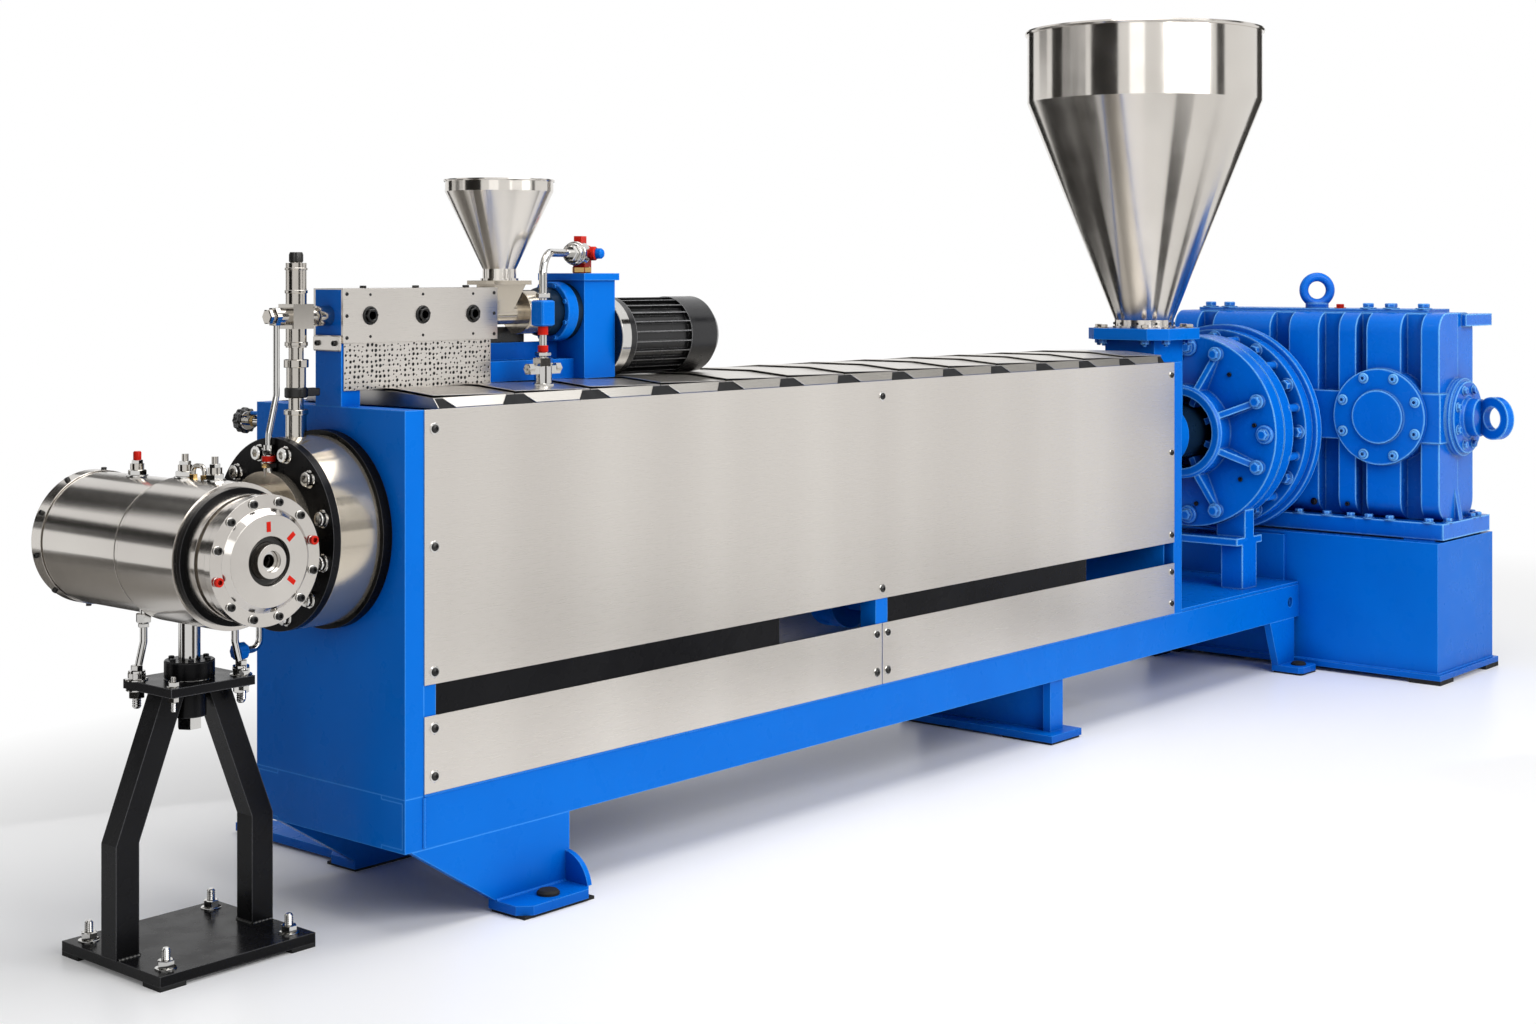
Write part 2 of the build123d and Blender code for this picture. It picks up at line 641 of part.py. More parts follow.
def upper_side_panels():
    return Compound(both_sides(side_sheet(END_PLATE_THICKNESS, CLADDING_END, UPPER_PANEL_BOTTOM,
                                          FRAME_TOP)))


def lower_side_panels():
    bottom = BEAM_TOP + LOWER_PANEL_CLEARANCE
    joint = MID_POST_START + POST_SIZE / 2
    panels = []
    for x0, x1 in ((END_PLATE_THICKNESS, joint - PANEL_JOINT / 2), (joint + PANEL_JOINT / 2, CLADDING_END)):
        panels += both_sides(side_sheet(x0, x1, bottom, LOWER_PANEL_TOP))
    return Compound(panels)


def cover_section(drop):
    """The roof line of a cover, lowered by a given amount, from the near foot to the far one."""
    foot = FRAME_TOP - drop
    knee = foot + COVER_KNEE_HEIGHT
    crest = foot + COVER_CREST_HEIGHT
    near = [(-COVER_FOOT_HALF, foot), (-COVER_KNEE_HALF, knee), (-COVER_CREST_HALF, crest)]
    return near + [(-y, z) for y, z in near[::-1]]


def top_cover(x0):
    """A folded cover: a flat crest, two slopes and two steep wings whose ends are cut back as vents."""
    x1 = x0 + COVER_PITCH - COVER_GAP
    sheet = plate_yz(cover_section(0) + cover_section(SHEET)[::-1], x0, x1)
    knee = COVER_KNEE_HALF
    near_edge = [(x0, -knee), (x0 + COVER_NOTCH_TOP, -knee), (x0 + COVER_NOTCH_FOOT, -COVER_FOOT_HALF),
                 (x1 - COVER_NOTCH_FOOT, -COVER_FOOT_HALF), (x1 - COVER_NOTCH_TOP, -knee), (x1, -knee)]
    far_edge = [(x, -y) for x, y in near_edge[::-1]]
    crest_top = FRAME_TOP + COVER_CREST_HEIGHT
    return sheet & plate_xy(near_edge + far_edge, FRAME_TOP - 2 * SHEET, crest_top + SHEET)


def barrel_top_covers():
    """The row of covers over the barrel and the sheet that closes its front end."""
    covers = [top_cover(COVER_LINE_START + i * COVER_PITCH) for i in range(COVER_COUNT)]
    end_sheet = plate_yz(cover_section(SHEET), COVER_LINE_START - SHEET, COVER_LINE_START)
    lip = plate_yz(cover_section(0) + cover_section(SHEET)[::-1], COVER_LINE_START - SHEET,
                   COVER_LINE_START)
    return Compound(covers + [end_sheet + lip])


def slot_shields():
    """Black sheets behind the long slots: with open windows on the near side, closed on the far side."""
    front = END_PLATE_THICKNESS + FRONT_POST_LENGTH
    rear = MID_POST_START + POST_SIZE
    bottom, top = LOWER_PANEL_TOP - SHIELD_OVERLAP, UPPER_PANEL_BOTTOM + SHIELD_OVERLAP
    near = [block(x0, x0 + length, -HALF, -HALF + SHEET, bottom, top)
            for x0, length in ((front, SHIELD_FRONT_LENGTH), (rear, SHIELD_REAR_LENGTH))]
    far = [block(x0, x1, HALF - SHEET, HALF, bottom, top)
           for x0, x1 in ((front, MID_POST_START), (rear, CLADDING_END))]
    return Compound(near + far)


# Barrel
def barrel():
    outer = rod_x(BARREL_RADIUS, 0, FEED_START, 0, AXIS_HEIGHT)
    return outer - rod_x(SCREW_DIAMETER / 2, 0, FEED_START, 0, AXIS_HEIGHT)


JACKET_START = END_PLATE_THICKNESS + 2 * JACKET_GAP
JACKET_PITCH = (CLADDING_END - JACKET_START) / JACKET_COUNT
JACKET_LENGTH = JACKET_PITCH - JACKET_GAP


def heater_jackets():
    """Finned heating and cooling jackets clamped round the barrel."""
    rings = []
    groove = JACKET_GAP / 2
    for i in range(JACKET_COUNT):
        x0 = JACKET_START + i * JACKET_PITCH
        x1 = x0 + JACKET_LENGTH
        third = JACKET_LENGTH / 3
        inner = BARREL_RADIUS + FIT_GAP
        waist = JACKET_RADIUS - groove
        rings.append(turned_x([(x0, inner), (x0, JACKET_RADIUS), (x0 + third, JACKET_RADIUS),
                               (x0 + third, waist),
                               (x1 - third, waist), (x1 - third, JACKET_RADIUS), (x1, JACKET_RADIUS),
                               (x1, inner)],
                              0, AXIS_HEIGHT))
    return Compound(rings)


def blower(x):
    """A fan under one jacket: a scroll housing, its motor and a duct up to the jacket."""
    z = AXIS_HEIGHT - BLOWER_DROP
    half = BLOWER_WIDTH / 2
    scroll = rod_y(BLOWER_RADIUS, -half, half, x, z)
    duct = block(x - BLOWER_RADIUS, x - BLOWER_RADIUS + BLOWER_DUCT, -half, half, z, AXIS_HEIGHT)
    duct -= rod_x(JACKET_RADIUS + FIT_GAP, x - JACKET_LENGTH, x + JACKET_LENGTH, 0, AXIS_HEIGHT)
    motor = rod_y(BLOWER_MOTOR_RADIUS, -half - BLOWER_MOTOR_LENGTH, -half, x, z)
    inlet = rod_y(BLOWER_MOTOR_RADIUS + BLOWER_BOLT_RADIUS, half, half + BLOWER_BOLT_RADIUS, x, z)
    return scroll + duct + motor + inlet


def cooling_blowers():
    return Compound([blower(JACKET_START + i * JACKET_PITCH + JACKET_LENGTH / 6 + BLOWER_RADIUS / 2)
                     for i in range(JACKET_COUNT)])


# Adapter drum and crosshead
def adapter_back_ring():
    ring = rod_x(BACK_RING_RADIUS, DRUM_BACK, 0, 0, AXIS_HEIGHT)
    return ring - rod_x(FLANGE_BORE, DRUM_BACK, 0, 0, AXIS_HEIGHT)


def adapter_drum():
    drum = rod_x(DRUM_RADIUS, DRUM_FRONT, DRUM_BACK, 0, AXIS_HEIGHT)
    drum -= rod_x(FLANGE_BORE, DRUM_FRONT, DRUM_BACK, 0, AXIS_HEIGHT)
    seat = rod_z(MELT_COLUMN_RADIUS + FIT_GAP, AXIS_HEIGHT + DRUM_RADIUS - MELT_COLUMN_RADIUS,
                 AXIS_HEIGHT + DRUM_RADIUS, MELT_X, 0)
    return drum - seat


def adapter_flange():
    disc = rod_x(DRUM_RADIUS, FLANGE_FRONT, DRUM_FRONT, 0, AXIS_HEIGHT)
    return disc - rod_x(FLANGE_BORE, FLANGE_FRONT, DRUM_FRONT, 0, AXIS_HEIGHT)


def crosshead_neck():
    """The short round neck between the flange and the crosshead, with a collar at the flange."""
    neck = turned_x([(CROSSHEAD_X, 0), (CROSSHEAD_X, NECK_RADIUS),
                     (FLANGE_FRONT - NECK_COLLAR_LENGTH, NECK_RADIUS),
                     (FLANGE_FRONT - NECK_COLLAR_LENGTH, NECK_COLLAR_RADIUS),
                     (FLANGE_FRONT, NECK_COLLAR_RADIUS),
                     (FLANGE_FRONT, 0)], 0, AXIS_HEIGHT)
    seat = rod_z(BYPASS_SLEEVE_RADIUS + FIT_GAP, BYPASS_FOOT, AXIS_HEIGHT + DRUM_RADIUS, BYPASS_X, 0)
    return neck - seat - rod_y(CROSSHEAD_BODY_RADIUS + FIT_GAP, CROSSHEAD_NEAR, CROSSHEAD_FAR, CROSSHEAD_X,
                               CROSSHEAD_HEIGHT)


def crosshead_body():
    """The die body along Y: a wide middle, a long tail with a seam and an end flange, bored through."""
    tail_end = CROSSHEAD_FAR - TAIL_FLANGE_LENGTH
    seam = CROSSHEAD_STEP + SEAM_GROOVE * 6
    body, tail, groove = CROSSHEAD_BODY_RADIUS, CROSSHEAD_TAIL_RADIUS, CROSSHEAD_TAIL_RADIUS - SEAM_GROOVE
    return turned_y([(CROSSHEAD_NEAR, DIE_BORE_RADIUS), (CROSSHEAD_NEAR, body), (CROSSHEAD_STEP, body),
                     (CROSSHEAD_STEP, tail), (seam, tail), (seam, groove), (seam + SEAM_GROOVE, groove),
                     (seam + SEAM_GROOVE, tail), (tail_end - SEAM_GROOVE, tail),
                     (tail_end - SEAM_GROOVE, groove),
                     (tail_end, groove), (tail_end, TAIL_FLANGE_RADIUS),
                     (CROSSHEAD_FAR, TAIL_FLANGE_RADIUS),
                     (CROSSHEAD_FAR, DIE_BORE_RADIUS)], CROSSHEAD_X, CROSSHEAD_HEIGHT)


DIE_RING_NEAR = CROSSHEAD_NEAR - DIE_RING_LENGTH
DIE_HOLDER_NEAR = DIE_RING_NEAR - DIE_HOLDER_LENGTH
DIE_FLANGE_NEAR = DIE_HOLDER_NEAR - DIE_FLANGE_LENGTH
DIE_NEAR = DIE_FLANGE_NEAR - DIE_CONE_LENGTH


def die_lock_ring():
    ring = rod_y(DIE_RING_RADIUS, DIE_RING_NEAR, CROSSHEAD_NEAR, CROSSHEAD_X, CROSSHEAD_HEIGHT)
    return ring - rod_y(DIE_BORE_RADIUS, DIE_RING_NEAR, CROSSHEAD_NEAR, CROSSHEAD_X, CROSSHEAD_HEIGHT)


def die_holder():
    """The die holder: a stepped barrel with a round groove."""
    r = DIE_HOLDER_RADIUS
    groove = (DIE_RING_NEAR + DIE_HOLDER_NEAR) / 2
    return turned_y([(DIE_HOLDER_NEAR, DIE_BORE_RADIUS), (DIE_HOLDER_NEAR, r - SEAM_GROOVE),
                     (groove - SEAM_GROOVE, r - SEAM_GROOVE), (groove - SEAM_GROOVE, r - 3 * SEAM_GROOVE),
                     (groove + SEAM_GROOVE, r - 3 * SEAM_GROOVE), (groove + SEAM_GROOVE, r),
                     (DIE_RING_NEAR, r), (DIE_RING_NEAR, DIE_BORE_RADIUS)], CROSSHEAD_X, CROSSHEAD_HEIGHT)


def die_face():
    """The die's front plate: a bolting flange, a bevelled boss with a recess, and the guide tube in it."""
    tube_near = DIE_NEAR - DIE_TUBE_LENGTH + DIE_RECESS_DEPTH
    floor = DIE_NEAR + DIE_RECESS_DEPTH
    return turned_y([(DIE_HOLDER_NEAR, DIE_BORE_RADIUS), (DIE_HOLDER_NEAR, DIE_FLANGE_RADIUS),
                     (DIE_FLANGE_NEAR, DIE_FLANGE_RADIUS),
                     (DIE_FLANGE_NEAR, DIE_CONE_RADIUS + DIE_CONE_LENGTH),
                     (DIE_NEAR, DIE_CONE_RADIUS), (DIE_NEAR, DIE_RECESS_RADIUS), (floor, DIE_RECESS_RADIUS),
                     (floor, DIE_TUBE_RADIUS), (tube_near, DIE_TUBE_RADIUS - SEAM_GROOVE),
                     (tube_near, DIE_BORE_RADIUS)], CROSSHEAD_X, CROSSHEAD_HEIGHT)


def crosshead_radius(y):
    """The outer radius of the crosshead at a place along it."""
    return CROSSHEAD_TAIL_RADIUS if y > CROSSHEAD_STEP else CROSSHEAD_BODY_RADIUS


def crosshead_fittings():
    """Sensor bosses on top of the crosshead and a bent lead beside one of them."""
    pieces = []
    for y in FITTING_PLACES:
        radius = crosshead_radius(y)
        top = CROSSHEAD_HEIGHT + radius
        boss = rod_z(FITTING_RADIUS, top - FITTING_HEIGHT, top + FITTING_HEIGHT, CROSSHEAD_X, y)
        boss -= rod_y(radius + FIT_GAP, CROSSHEAD_NEAR, CROSSHEAD_FAR, CROSSHEAD_X, CROSSHEAD_HEIGHT)
        stem = rod_z(FITTING_STEM_RADIUS, top + FITTING_HEIGHT, top + FITTING_HEIGHT + FITTING_STEM_HEIGHT,
                     CROSSHEAD_X, y)
        pieces.append(boss + stem)
    return Compound(pieces + [sensor_lead()])


def sensor_lead():
    """A bent lead that leaves the crosshead beside its middle fitting and comes back down to it."""
    y = FITTING_PLACES[1] - 2 * FITTING_RADIUS
    foot = CROSSHEAD_HEIGHT + CROSSHEAD_BODY_RADIUS
    top = foot + FITTING_HEIGHT
    lead = tube([(CROSSHEAD_X, y, foot - LEAD_RADIUS), (CROSSHEAD_X, y, top),
                 (CROSSHEAD_X, y - LEAD_SPAN, top),
                 (CROSSHEAD_X, y - LEAD_SPAN, foot - LEAD_RADIUS)], LEAD_BEND, LEAD_RADIUS)
    return lead - rod_y(CROSSHEAD_BODY_RADIUS + FIT_GAP, CROSSHEAD_NEAR, CROSSHEAD_FAR, CROSSHEAD_X,
                        CROSSHEAD_HEIGHT)


# Stand
def stand_leg(side):
    """A square tube that stands upright and then leans in to the top plate."""
    foot = CROSSHEAD_X + side * STAND_LEG_SPREAD
    head = CROSSHEAD_X + side * STAND_LEG_TOP_SPREAD
    half = STAND_TUBE / 2
    outline = [(foot - half, STAND_PLATE_TOP), (foot + half, STAND_PLATE_TOP), (foot + half, STAND_KNEE),
               (head + half, STAND_TOP_HEIGHT), (head - half, STAND_TOP_HEIGHT), (foot - half, STAND_KNEE)]
    return plate_xz(outline, STAND_Y - half, STAND_Y + half)


def stand_frame():
    """Base plate, two bent legs and top plate, welded together."""
    half_x, half_y = STAND_LENGTH / 2, STAND_WIDTH / 2
    base = block(CROSSHEAD_X - half_x, CROSSHEAD_X + half_x, STAND_Y - half_y, STAND_Y + half_y,
                 STAND_PAD, STAND_PLATE_TOP)
    for side_x in (-1, 1):
        for side_y in (-1, 1):
            base -= rod_z(STAND_ANCHOR_RADIUS, STAND_PAD, STAND_PLATE_TOP,
                          CROSSHEAD_X + side_x * (half_x - STAND_ANCHOR_INSET),
                          STAND_Y + side_y * (half_y - STAND_ANCHOR_INSET))
    table = block(CROSSHEAD_X - STAND_TOP_LENGTH / 2, CROSSHEAD_X + STAND_TOP_LENGTH / 2,
                  STAND_Y - STAND_TOP_WIDTH / 2, STAND_Y + STAND_TOP_WIDTH / 2, STAND_TOP_HEIGHT,
                  STAND_TABLE_TOP)
    sleeve = rod_z(JACK_SLEEVE_RADIUS, STAND_TOP_HEIGHT - JACK_SLEEVE_LENGTH, STAND_TOP_HEIGHT, CROSSHEAD_X,
                   STAND_Y)
    bore = rod_z(JACK_RADIUS + FIT_GAP, STAND_TOP_HEIGHT - JACK_SLEEVE_LENGTH, STAND_TABLE_TOP, CROSSHEAD_X,
                 STAND_Y)
    return base + stand_leg(-1) + stand_leg(1) + table + sleeve - bore


def stand_jack():
    """The threaded post that carries the crosshead, with its collar above the plate and its nut below."""
    nut_top = STAND_TOP_HEIGHT - JACK_SLEEVE_LENGTH
    post = rod_z(JACK_RADIUS, nut_top - JACK_NUT_HEIGHT, CROSSHEAD_HEIGHT, CROSSHEAD_X, STAND_Y)
    post -= rod_y(CROSSHEAD_BODY_RADIUS + FIT_GAP, CROSSHEAD_NEAR, CROSSHEAD_STEP, CROSSHEAD_X,
                  CROSSHEAD_HEIGHT)
    collar = rod_z(JACK_COLLAR_RADIUS, STAND_TABLE_TOP, STAND_TABLE_TOP + JACK_COLLAR_HEIGHT, CROSSHEAD_X,
                   STAND_Y)
    nut = Pos(CROSSHEAD_X, STAND_Y, nut_top - JACK_NUT_HEIGHT) * extrude(RegularPolygon(JACK_NUT_SIZE, 6),
                                                                        amount=JACK_NUT_HEIGHT)
    return post + collar + nut


def drain_pipe(side):
    """A bent pipe from the underside of the crosshead to the top plate of the stand."""
    x = CROSSHEAD_X + side * DRAIN_SPREAD_X
    y = STAND_Y - side * DRAIN_SPREAD_Y
    radius = crosshead_radius(y)
    top = CROSSHEAD_HEIGHT - sqrt(radius ** 2 - DRAIN_SPREAD_X ** 2)
    foot = STAND_TABLE_TOP + DRAIN_FOOT_HEIGHT
    bend = (top - foot) / 4
    pipe = tube([(x, y, top + DRAIN_RADIUS), (x, y, foot + 2 * bend), (x + side * bend / 2, y, foot)], bend,
                DRAIN_RADIUS)
    pipe -= rod_y(radius + FIT_GAP, CROSSHEAD_NEAR, CROSSHEAD_FAR, CROSSHEAD_X, CROSSHEAD_HEIGHT)
    base = rod_z(DRAIN_FOOT_RADIUS, STAND_TABLE_TOP, foot + DRAIN_RADIUS, x + side * bend / 2, y)
    return pipe + base


def drain_pipes():
    return Compound([drain_pipe(-1), drain_pipe(1)])


def water_taps():
    """A bent pipe with a knob under the drum and a knob valve on the far edge of the end plate."""
    x = (FLANGE_FRONT + DRUM_FRONT) / 2
    top = AXIS_HEIGHT - sqrt(DRUM_RADIUS ** 2 - TAP_Y ** 2)
    low = top - TAP_DROP
    pipe = tube([(x, TAP_Y, top + DRAIN_RADIUS), (x, TAP_Y, low), (x - TAP_REACH, TAP_Y, low)], TAP_BEND,
                DRAIN_RADIUS)
    pipe -= rod_x(DRUM_RADIUS + FIT_GAP, FLANGE_FRONT - DRAIN_RADIUS, DRUM_BACK, 0, AXIS_HEIGHT)
    pipe += rod_x(TAP_KNOB_RADIUS, x - TAP_REACH - TAP_KNOB_LENGTH, x - TAP_REACH, TAP_Y, low)
    middle = END_PLATE_THICKNESS / 2
    valve_end = HALF + PLATE_TAP_LENGTH
    valve = rod_y(PLATE_TAP_RADIUS, HALF, valve_end, middle, PLATE_TAP_HEIGHT)
    knob = turned_y([(valve_end, 0), (valve_end, 0.8 * PLATE_TAP_KNOB_RADIUS),
                     (valve_end + PLATE_TAP_KNOB_LENGTH / 3, PLATE_TAP_KNOB_RADIUS),
                     (valve_end + PLATE_TAP_KNOB_LENGTH, 0.9 * PLATE_TAP_KNOB_RADIUS),
                     (valve_end + PLATE_TAP_KNOB_LENGTH, 0)], middle, PLATE_TAP_HEIGHT)
    return Compound([pipe, valve + knob])


# Melt column and co-extruder
def melt_column():
    """The upright feed pipe: stepped pipe, valve block with its outlet to the co-extruder, screw above."""
    foot = AXIS_HEIGHT + DRUM_RADIUS - MELT_COLUMN_RADIUS
    r = MELT_COLUMN_RADIUS
    block_bottom = COEX_AXIS_HEIGHT - MELT_BLOCK_SIZE / 2
    block_top = COEX_AXIS_HEIGHT + MELT_BLOCK_SIZE / 2
    step = (block_bottom - AXIS_HEIGHT - DRUM_RADIUS) / 4
    waist, cap = 0.72 * r, 0.56 * r
    low = AXIS_HEIGHT + DRUM_RADIUS + step
    pipe = turned_z([(0, foot), (r, foot), (r, low), (waist, low), (waist, low + step / 2),
                     (0.94 * r, low + step / 2),
                     (0.94 * r, low + step * 1.8), (waist, low + step * 1.8), (waist, low + step * 2.3),
                     (r, low + step * 2.3), (r, MELT_TOP - r), (cap, MELT_TOP - r), (cap, MELT_TOP),
                     (0, MELT_TOP)],
                    MELT_X, 0)
    half = MELT_BLOCK_SIZE / 2
    valve = block(MELT_X - half, MELT_X + half, -half, half, block_bottom, block_top)
    outlet = turned_x([(MELT_X, 0), (MELT_X, 0.7 * r), (MELT_X + 0.6 * (-MELT_X), 0.7 * r),
                       (MELT_X + 0.6 * (-MELT_X), r), (0, r), (0, 0)], 0, COEX_AXIS_HEIGHT)
    end = BYPASS_HEAD_X - r
    blank = turned_x([(end, 0), (end, 0.6 * r), (end + 0.6 * r, 0.6 * r), (end + 0.6 * r, 0.85 * r),
                      (MELT_X, 0.85 * r), (MELT_X, 0)], 0, COEX_AXIS_HEIGHT)
    return pipe + valve + outlet + blank


def bypass_pipe():
    """A thin pipe from the valve block down to the collar of the neck, with a thicker sleeve at its foot."""
    top = COEX_AXIS_HEIGHT - 0.85 * MELT_COLUMN_RADIUS
    low = BYPASS_FOOT + (top - BYPASS_FOOT) * 0.28
    bend = (low - BYPASS_FOOT) * 0.45
    pipe = tube([(BYPASS_HEAD_X, 0, top + BYPASS_RADIUS), (BYPASS_HEAD_X, 0, low + 2 * bend),
                 (BYPASS_X, 0, low),
                 (BYPASS_X, 0, BYPASS_FOOT + BYPASS_RADIUS)], bend, BYPASS_RADIUS)
    pipe -= rod_x(0.85 * MELT_COLUMN_RADIUS + FIT_GAP, 2 * BYPASS_X, MELT_X, 0, COEX_AXIS_HEIGHT)
    sleeve = rod_z(BYPASS_SLEEVE_RADIUS, BYPASS_FOOT, BYPASS_FOOT + 6 * BYPASS_SLEEVE_RADIUS, BYPASS_X, 0)
    return pipe + sleeve


def coex_post():
    half = COEX_POST_WIDTH / 2
    return block(0, COEX_POST_LENGTH, -half, half, FRAME_TOP, COEX_COVER_TOP - SHEET)


def coex_barrel_cover():
    """The box over the small barrel, open round the post, with round sockets sunk into its near side."""
    half = COEX_COVER_WIDTH / 2
    box = block(0, COEX_COVER_END, -half, half, COEX_COVER_BOTTOM, COEX_COVER_TOP)
    box -= block(0, COEX_POST_LENGTH, -COEX_POST_WIDTH / 2, COEX_POST_WIDTH / 2, COEX_COVER_BOTTOM,
                 COEX_COVER_TOP - SHEET)
    pitch = COEX_COVER_END / COEX_PORT_COUNT
    for i in range(COEX_PORT_COUNT):
        box -= rod_y(COEX_PORT_RADIUS, -half, -half + COEX_PORT_DEPTH, (i + 0.5) * pitch, COEX_AXIS_HEIGHT)
    return box


def coex_guard():
    """A perforated sheet hung under the near side of the barrel cover."""
    near = -COEX_COVER_WIDTH / 2 + COEX_GUARD_RECESS
    sheet = block(COEX_GUARD_START, COEX_GUARD_END, near, near + SHEET, COEX_GUARD_BOTTOM,
                  COEX_COVER_BOTTOM)
    columns = int((COEX_GUARD_END - COEX_GUARD_START) / GUARD_HOLE_PITCH) - 1
    row_pitch = (COEX_COVER_BOTTOM - COEX_GUARD_BOTTOM) / GUARD_HOLE_ROWS
    margin = (COEX_GUARD_END - COEX_GUARD_START - (columns - 1) * GUARD_HOLE_PITCH) / 2
    holes = [rod_y(GUARD_HOLE_RADIUS, near, near + SHEET,
                   COEX_GUARD_START + margin + (i + 0.25 * (-1) ** row) * GUARD_HOLE_PITCH,
                   COEX_GUARD_BOTTOM + (row + 0.5) * row_pitch)
             for i in range(columns) for row in range(GUARD_HOLE_ROWS)]
    return sheet - holes


def coex_support():
    """The beam under the co-extruder, from the front post to the gear column, with arms to the far rail."""
    half = COEX_BEAM_WIDTH / 2
    bottom = FRAME_TOP + COVER_CREST_HEIGHT + 2 * SHEET
    top = bottom + COEX_BEAM_HEIGHT
    end = COEX_COLUMN_X + COEX_COLUMN_LENGTH
    beam = block(COEX_POST_LENGTH, end, -half, half, bottom, top)
    beam += block(COEX_GUARD_END, COEX_COLUMN_X, half - COEX_WEB_THICKNESS, half, top, COEX_WEB_TOP)
    for x in (COEX_COLUMN_X / 3, COEX_COLUMN_X - 2 * COEX_BEAM_WIDTH):
        beam += block(x, x + half, half, HALF, bottom, bottom + SHEET * 4)
        beam += block(x, x + half, HALF - SHEET * 4, HALF, RAIL_TOP, bottom)
    return beam


def coex_barrel():
    """The small barrel between the cover and the coupling, with its cast feed throat."""
    pipe = rod_x(COEX_BARREL_RADIUS, COEX_COVER_END, COEX_COUPLING_X, 0, COEX_AXIS_HEIGHT)
    r = SMALL_HOPPER_NECK_RADIUS
    flange_top = SMALL_HOPPER_BOTTOM
    flange = block(SMALL_HOPPER_X - 1.5 * r, SMALL_HOPPER_X + 1.5 * r, -1.2 * r, 1.2 * r,
                   flange_top - r / 4,
                   flange_top)
    throat = plate_xz([(SMALL_HOPPER_X - 1.1 * r, flange_top - r / 4),
                       (SMALL_HOPPER_X + 1.4 * r, flange_top - r / 4),
                       (SMALL_HOPPER_X + 0.3 * r, COEX_AXIS_HEIGHT),
                       (SMALL_HOPPER_X - 1.1 * r, COEX_AXIS_HEIGHT)],
                      -0.8 * r, 0.8 * r)
    return pipe + flange + throat


def coex_coupling():
    """The dark coupling ring and the bell housing in front of the gear column."""
    bell_half = COEX_BELL_RADIUS
    return turned_x([(COEX_COUPLING_X, 0), (COEX_COUPLING_X, COEX_COUPLING_RADIUS),
                     (COEX_BELL_X - SHEET * 4, COEX_COUPLING_RADIUS), (COEX_BELL_X, bell_half),
                     (COEX_COLUMN_X - SHEET * 6, bell_half), (COEX_COLUMN_X - SHEET * 6, COEX_BELL_RIM),
                     (COEX_COLUMN_X, COEX_BELL_RIM), (COEX_COLUMN_X, 0)], 0, COEX_AXIS_HEIGHT)


def coex_gear_column():
    half = COEX_COLUMN_WIDTH / 2
    bottom = FRAME_TOP + COVER_CREST_HEIGHT + 2 * SHEET + COEX_BEAM_HEIGHT
    end = COEX_COLUMN_X + COEX_COLUMN_LENGTH
    column = block(COEX_COLUMN_X, end, -half, half, bottom, COEX_COLUMN_TOP)
    skirt = FRAME_TOP + COVER_CREST_HEIGHT + 2 * SHEET
    for side in (-1, 1):
        y0, y1 = sorted((side * half, side * (COEX_BEAM_WIDTH / 2 + FIT_GAP)))
        column += block(COEX_COLUMN_X, end, y0, y1, skirt, bottom)
    reach = COEX_CAP_OVERHANG
    cap = block(COEX_COLUMN_X - reach, end + reach, -half - reach, half + reach, COEX_COLUMN_TOP,
                COEX_COLUMN_TOP + COEX_CAP_THICKNESS)
    return column + cap


def coex_motor():
    """A finned flange motor: end flange, ribbed frame and fan cowl."""
    start = COEX_COLUMN_X + COEX_COLUMN_LENGTH
    flange_end = start + COEX_MOTOR_LENGTH * 0.14
    cowl = start + COEX_MOTOR_LENGTH * 0.68
    end = start + COEX_MOTOR_LENGTH
    r = COEX_MOTOR_RADIUS
    core = 0.86 * r
    body = turned_x([(start, 0), (start, r), (flange_end, r), (flange_end, core), (cowl, core),
                     (cowl, 0.98 * r),
                     (end - r / 4, 0.98 * r), (end, 0.8 * r), (end, 0)], 0, COEX_MOTOR_HEIGHT)
    fin = block(flange_end, cowl, -SHEET / 2, SHEET / 2, 0, 0.97 * r)
    for i in range(COEX_MOTOR_FINS):
        body += Pos(0, 0, COEX_MOTOR_HEIGHT) * Rot((i + 0.5) * 360 / COEX_MOTOR_FINS, 0, 0) * fin
    return body


def hopper_cone(x, neck, bottom, cone_bottom, cone_top, radius, sheet):
    """A sheet cone with a straight neck and a collar at its foot."""
    collar = 2 * sheet
    return turned_z([(neck - sheet, bottom), (neck + collar, bottom), (neck + collar, bottom + collar),
                     (neck, bottom + collar), (neck, cone_bottom), (radius, cone_top),
                     (radius - sheet, cone_top),
                     (neck - sheet, cone_bottom)], x, 0)


def hopper_cylinder(x, bottom, top, radius, sheet, rim):
    """A sheet cylinder with a rolled rim."""
    return turned_z([(radius - sheet, bottom), (radius, bottom), (radius, top - 2 * rim),
                     (radius + rim, top - 2 * rim),
                     (radius + rim * 1.4, top - rim), (radius + rim, top), (radius - sheet, top)], x, 0)


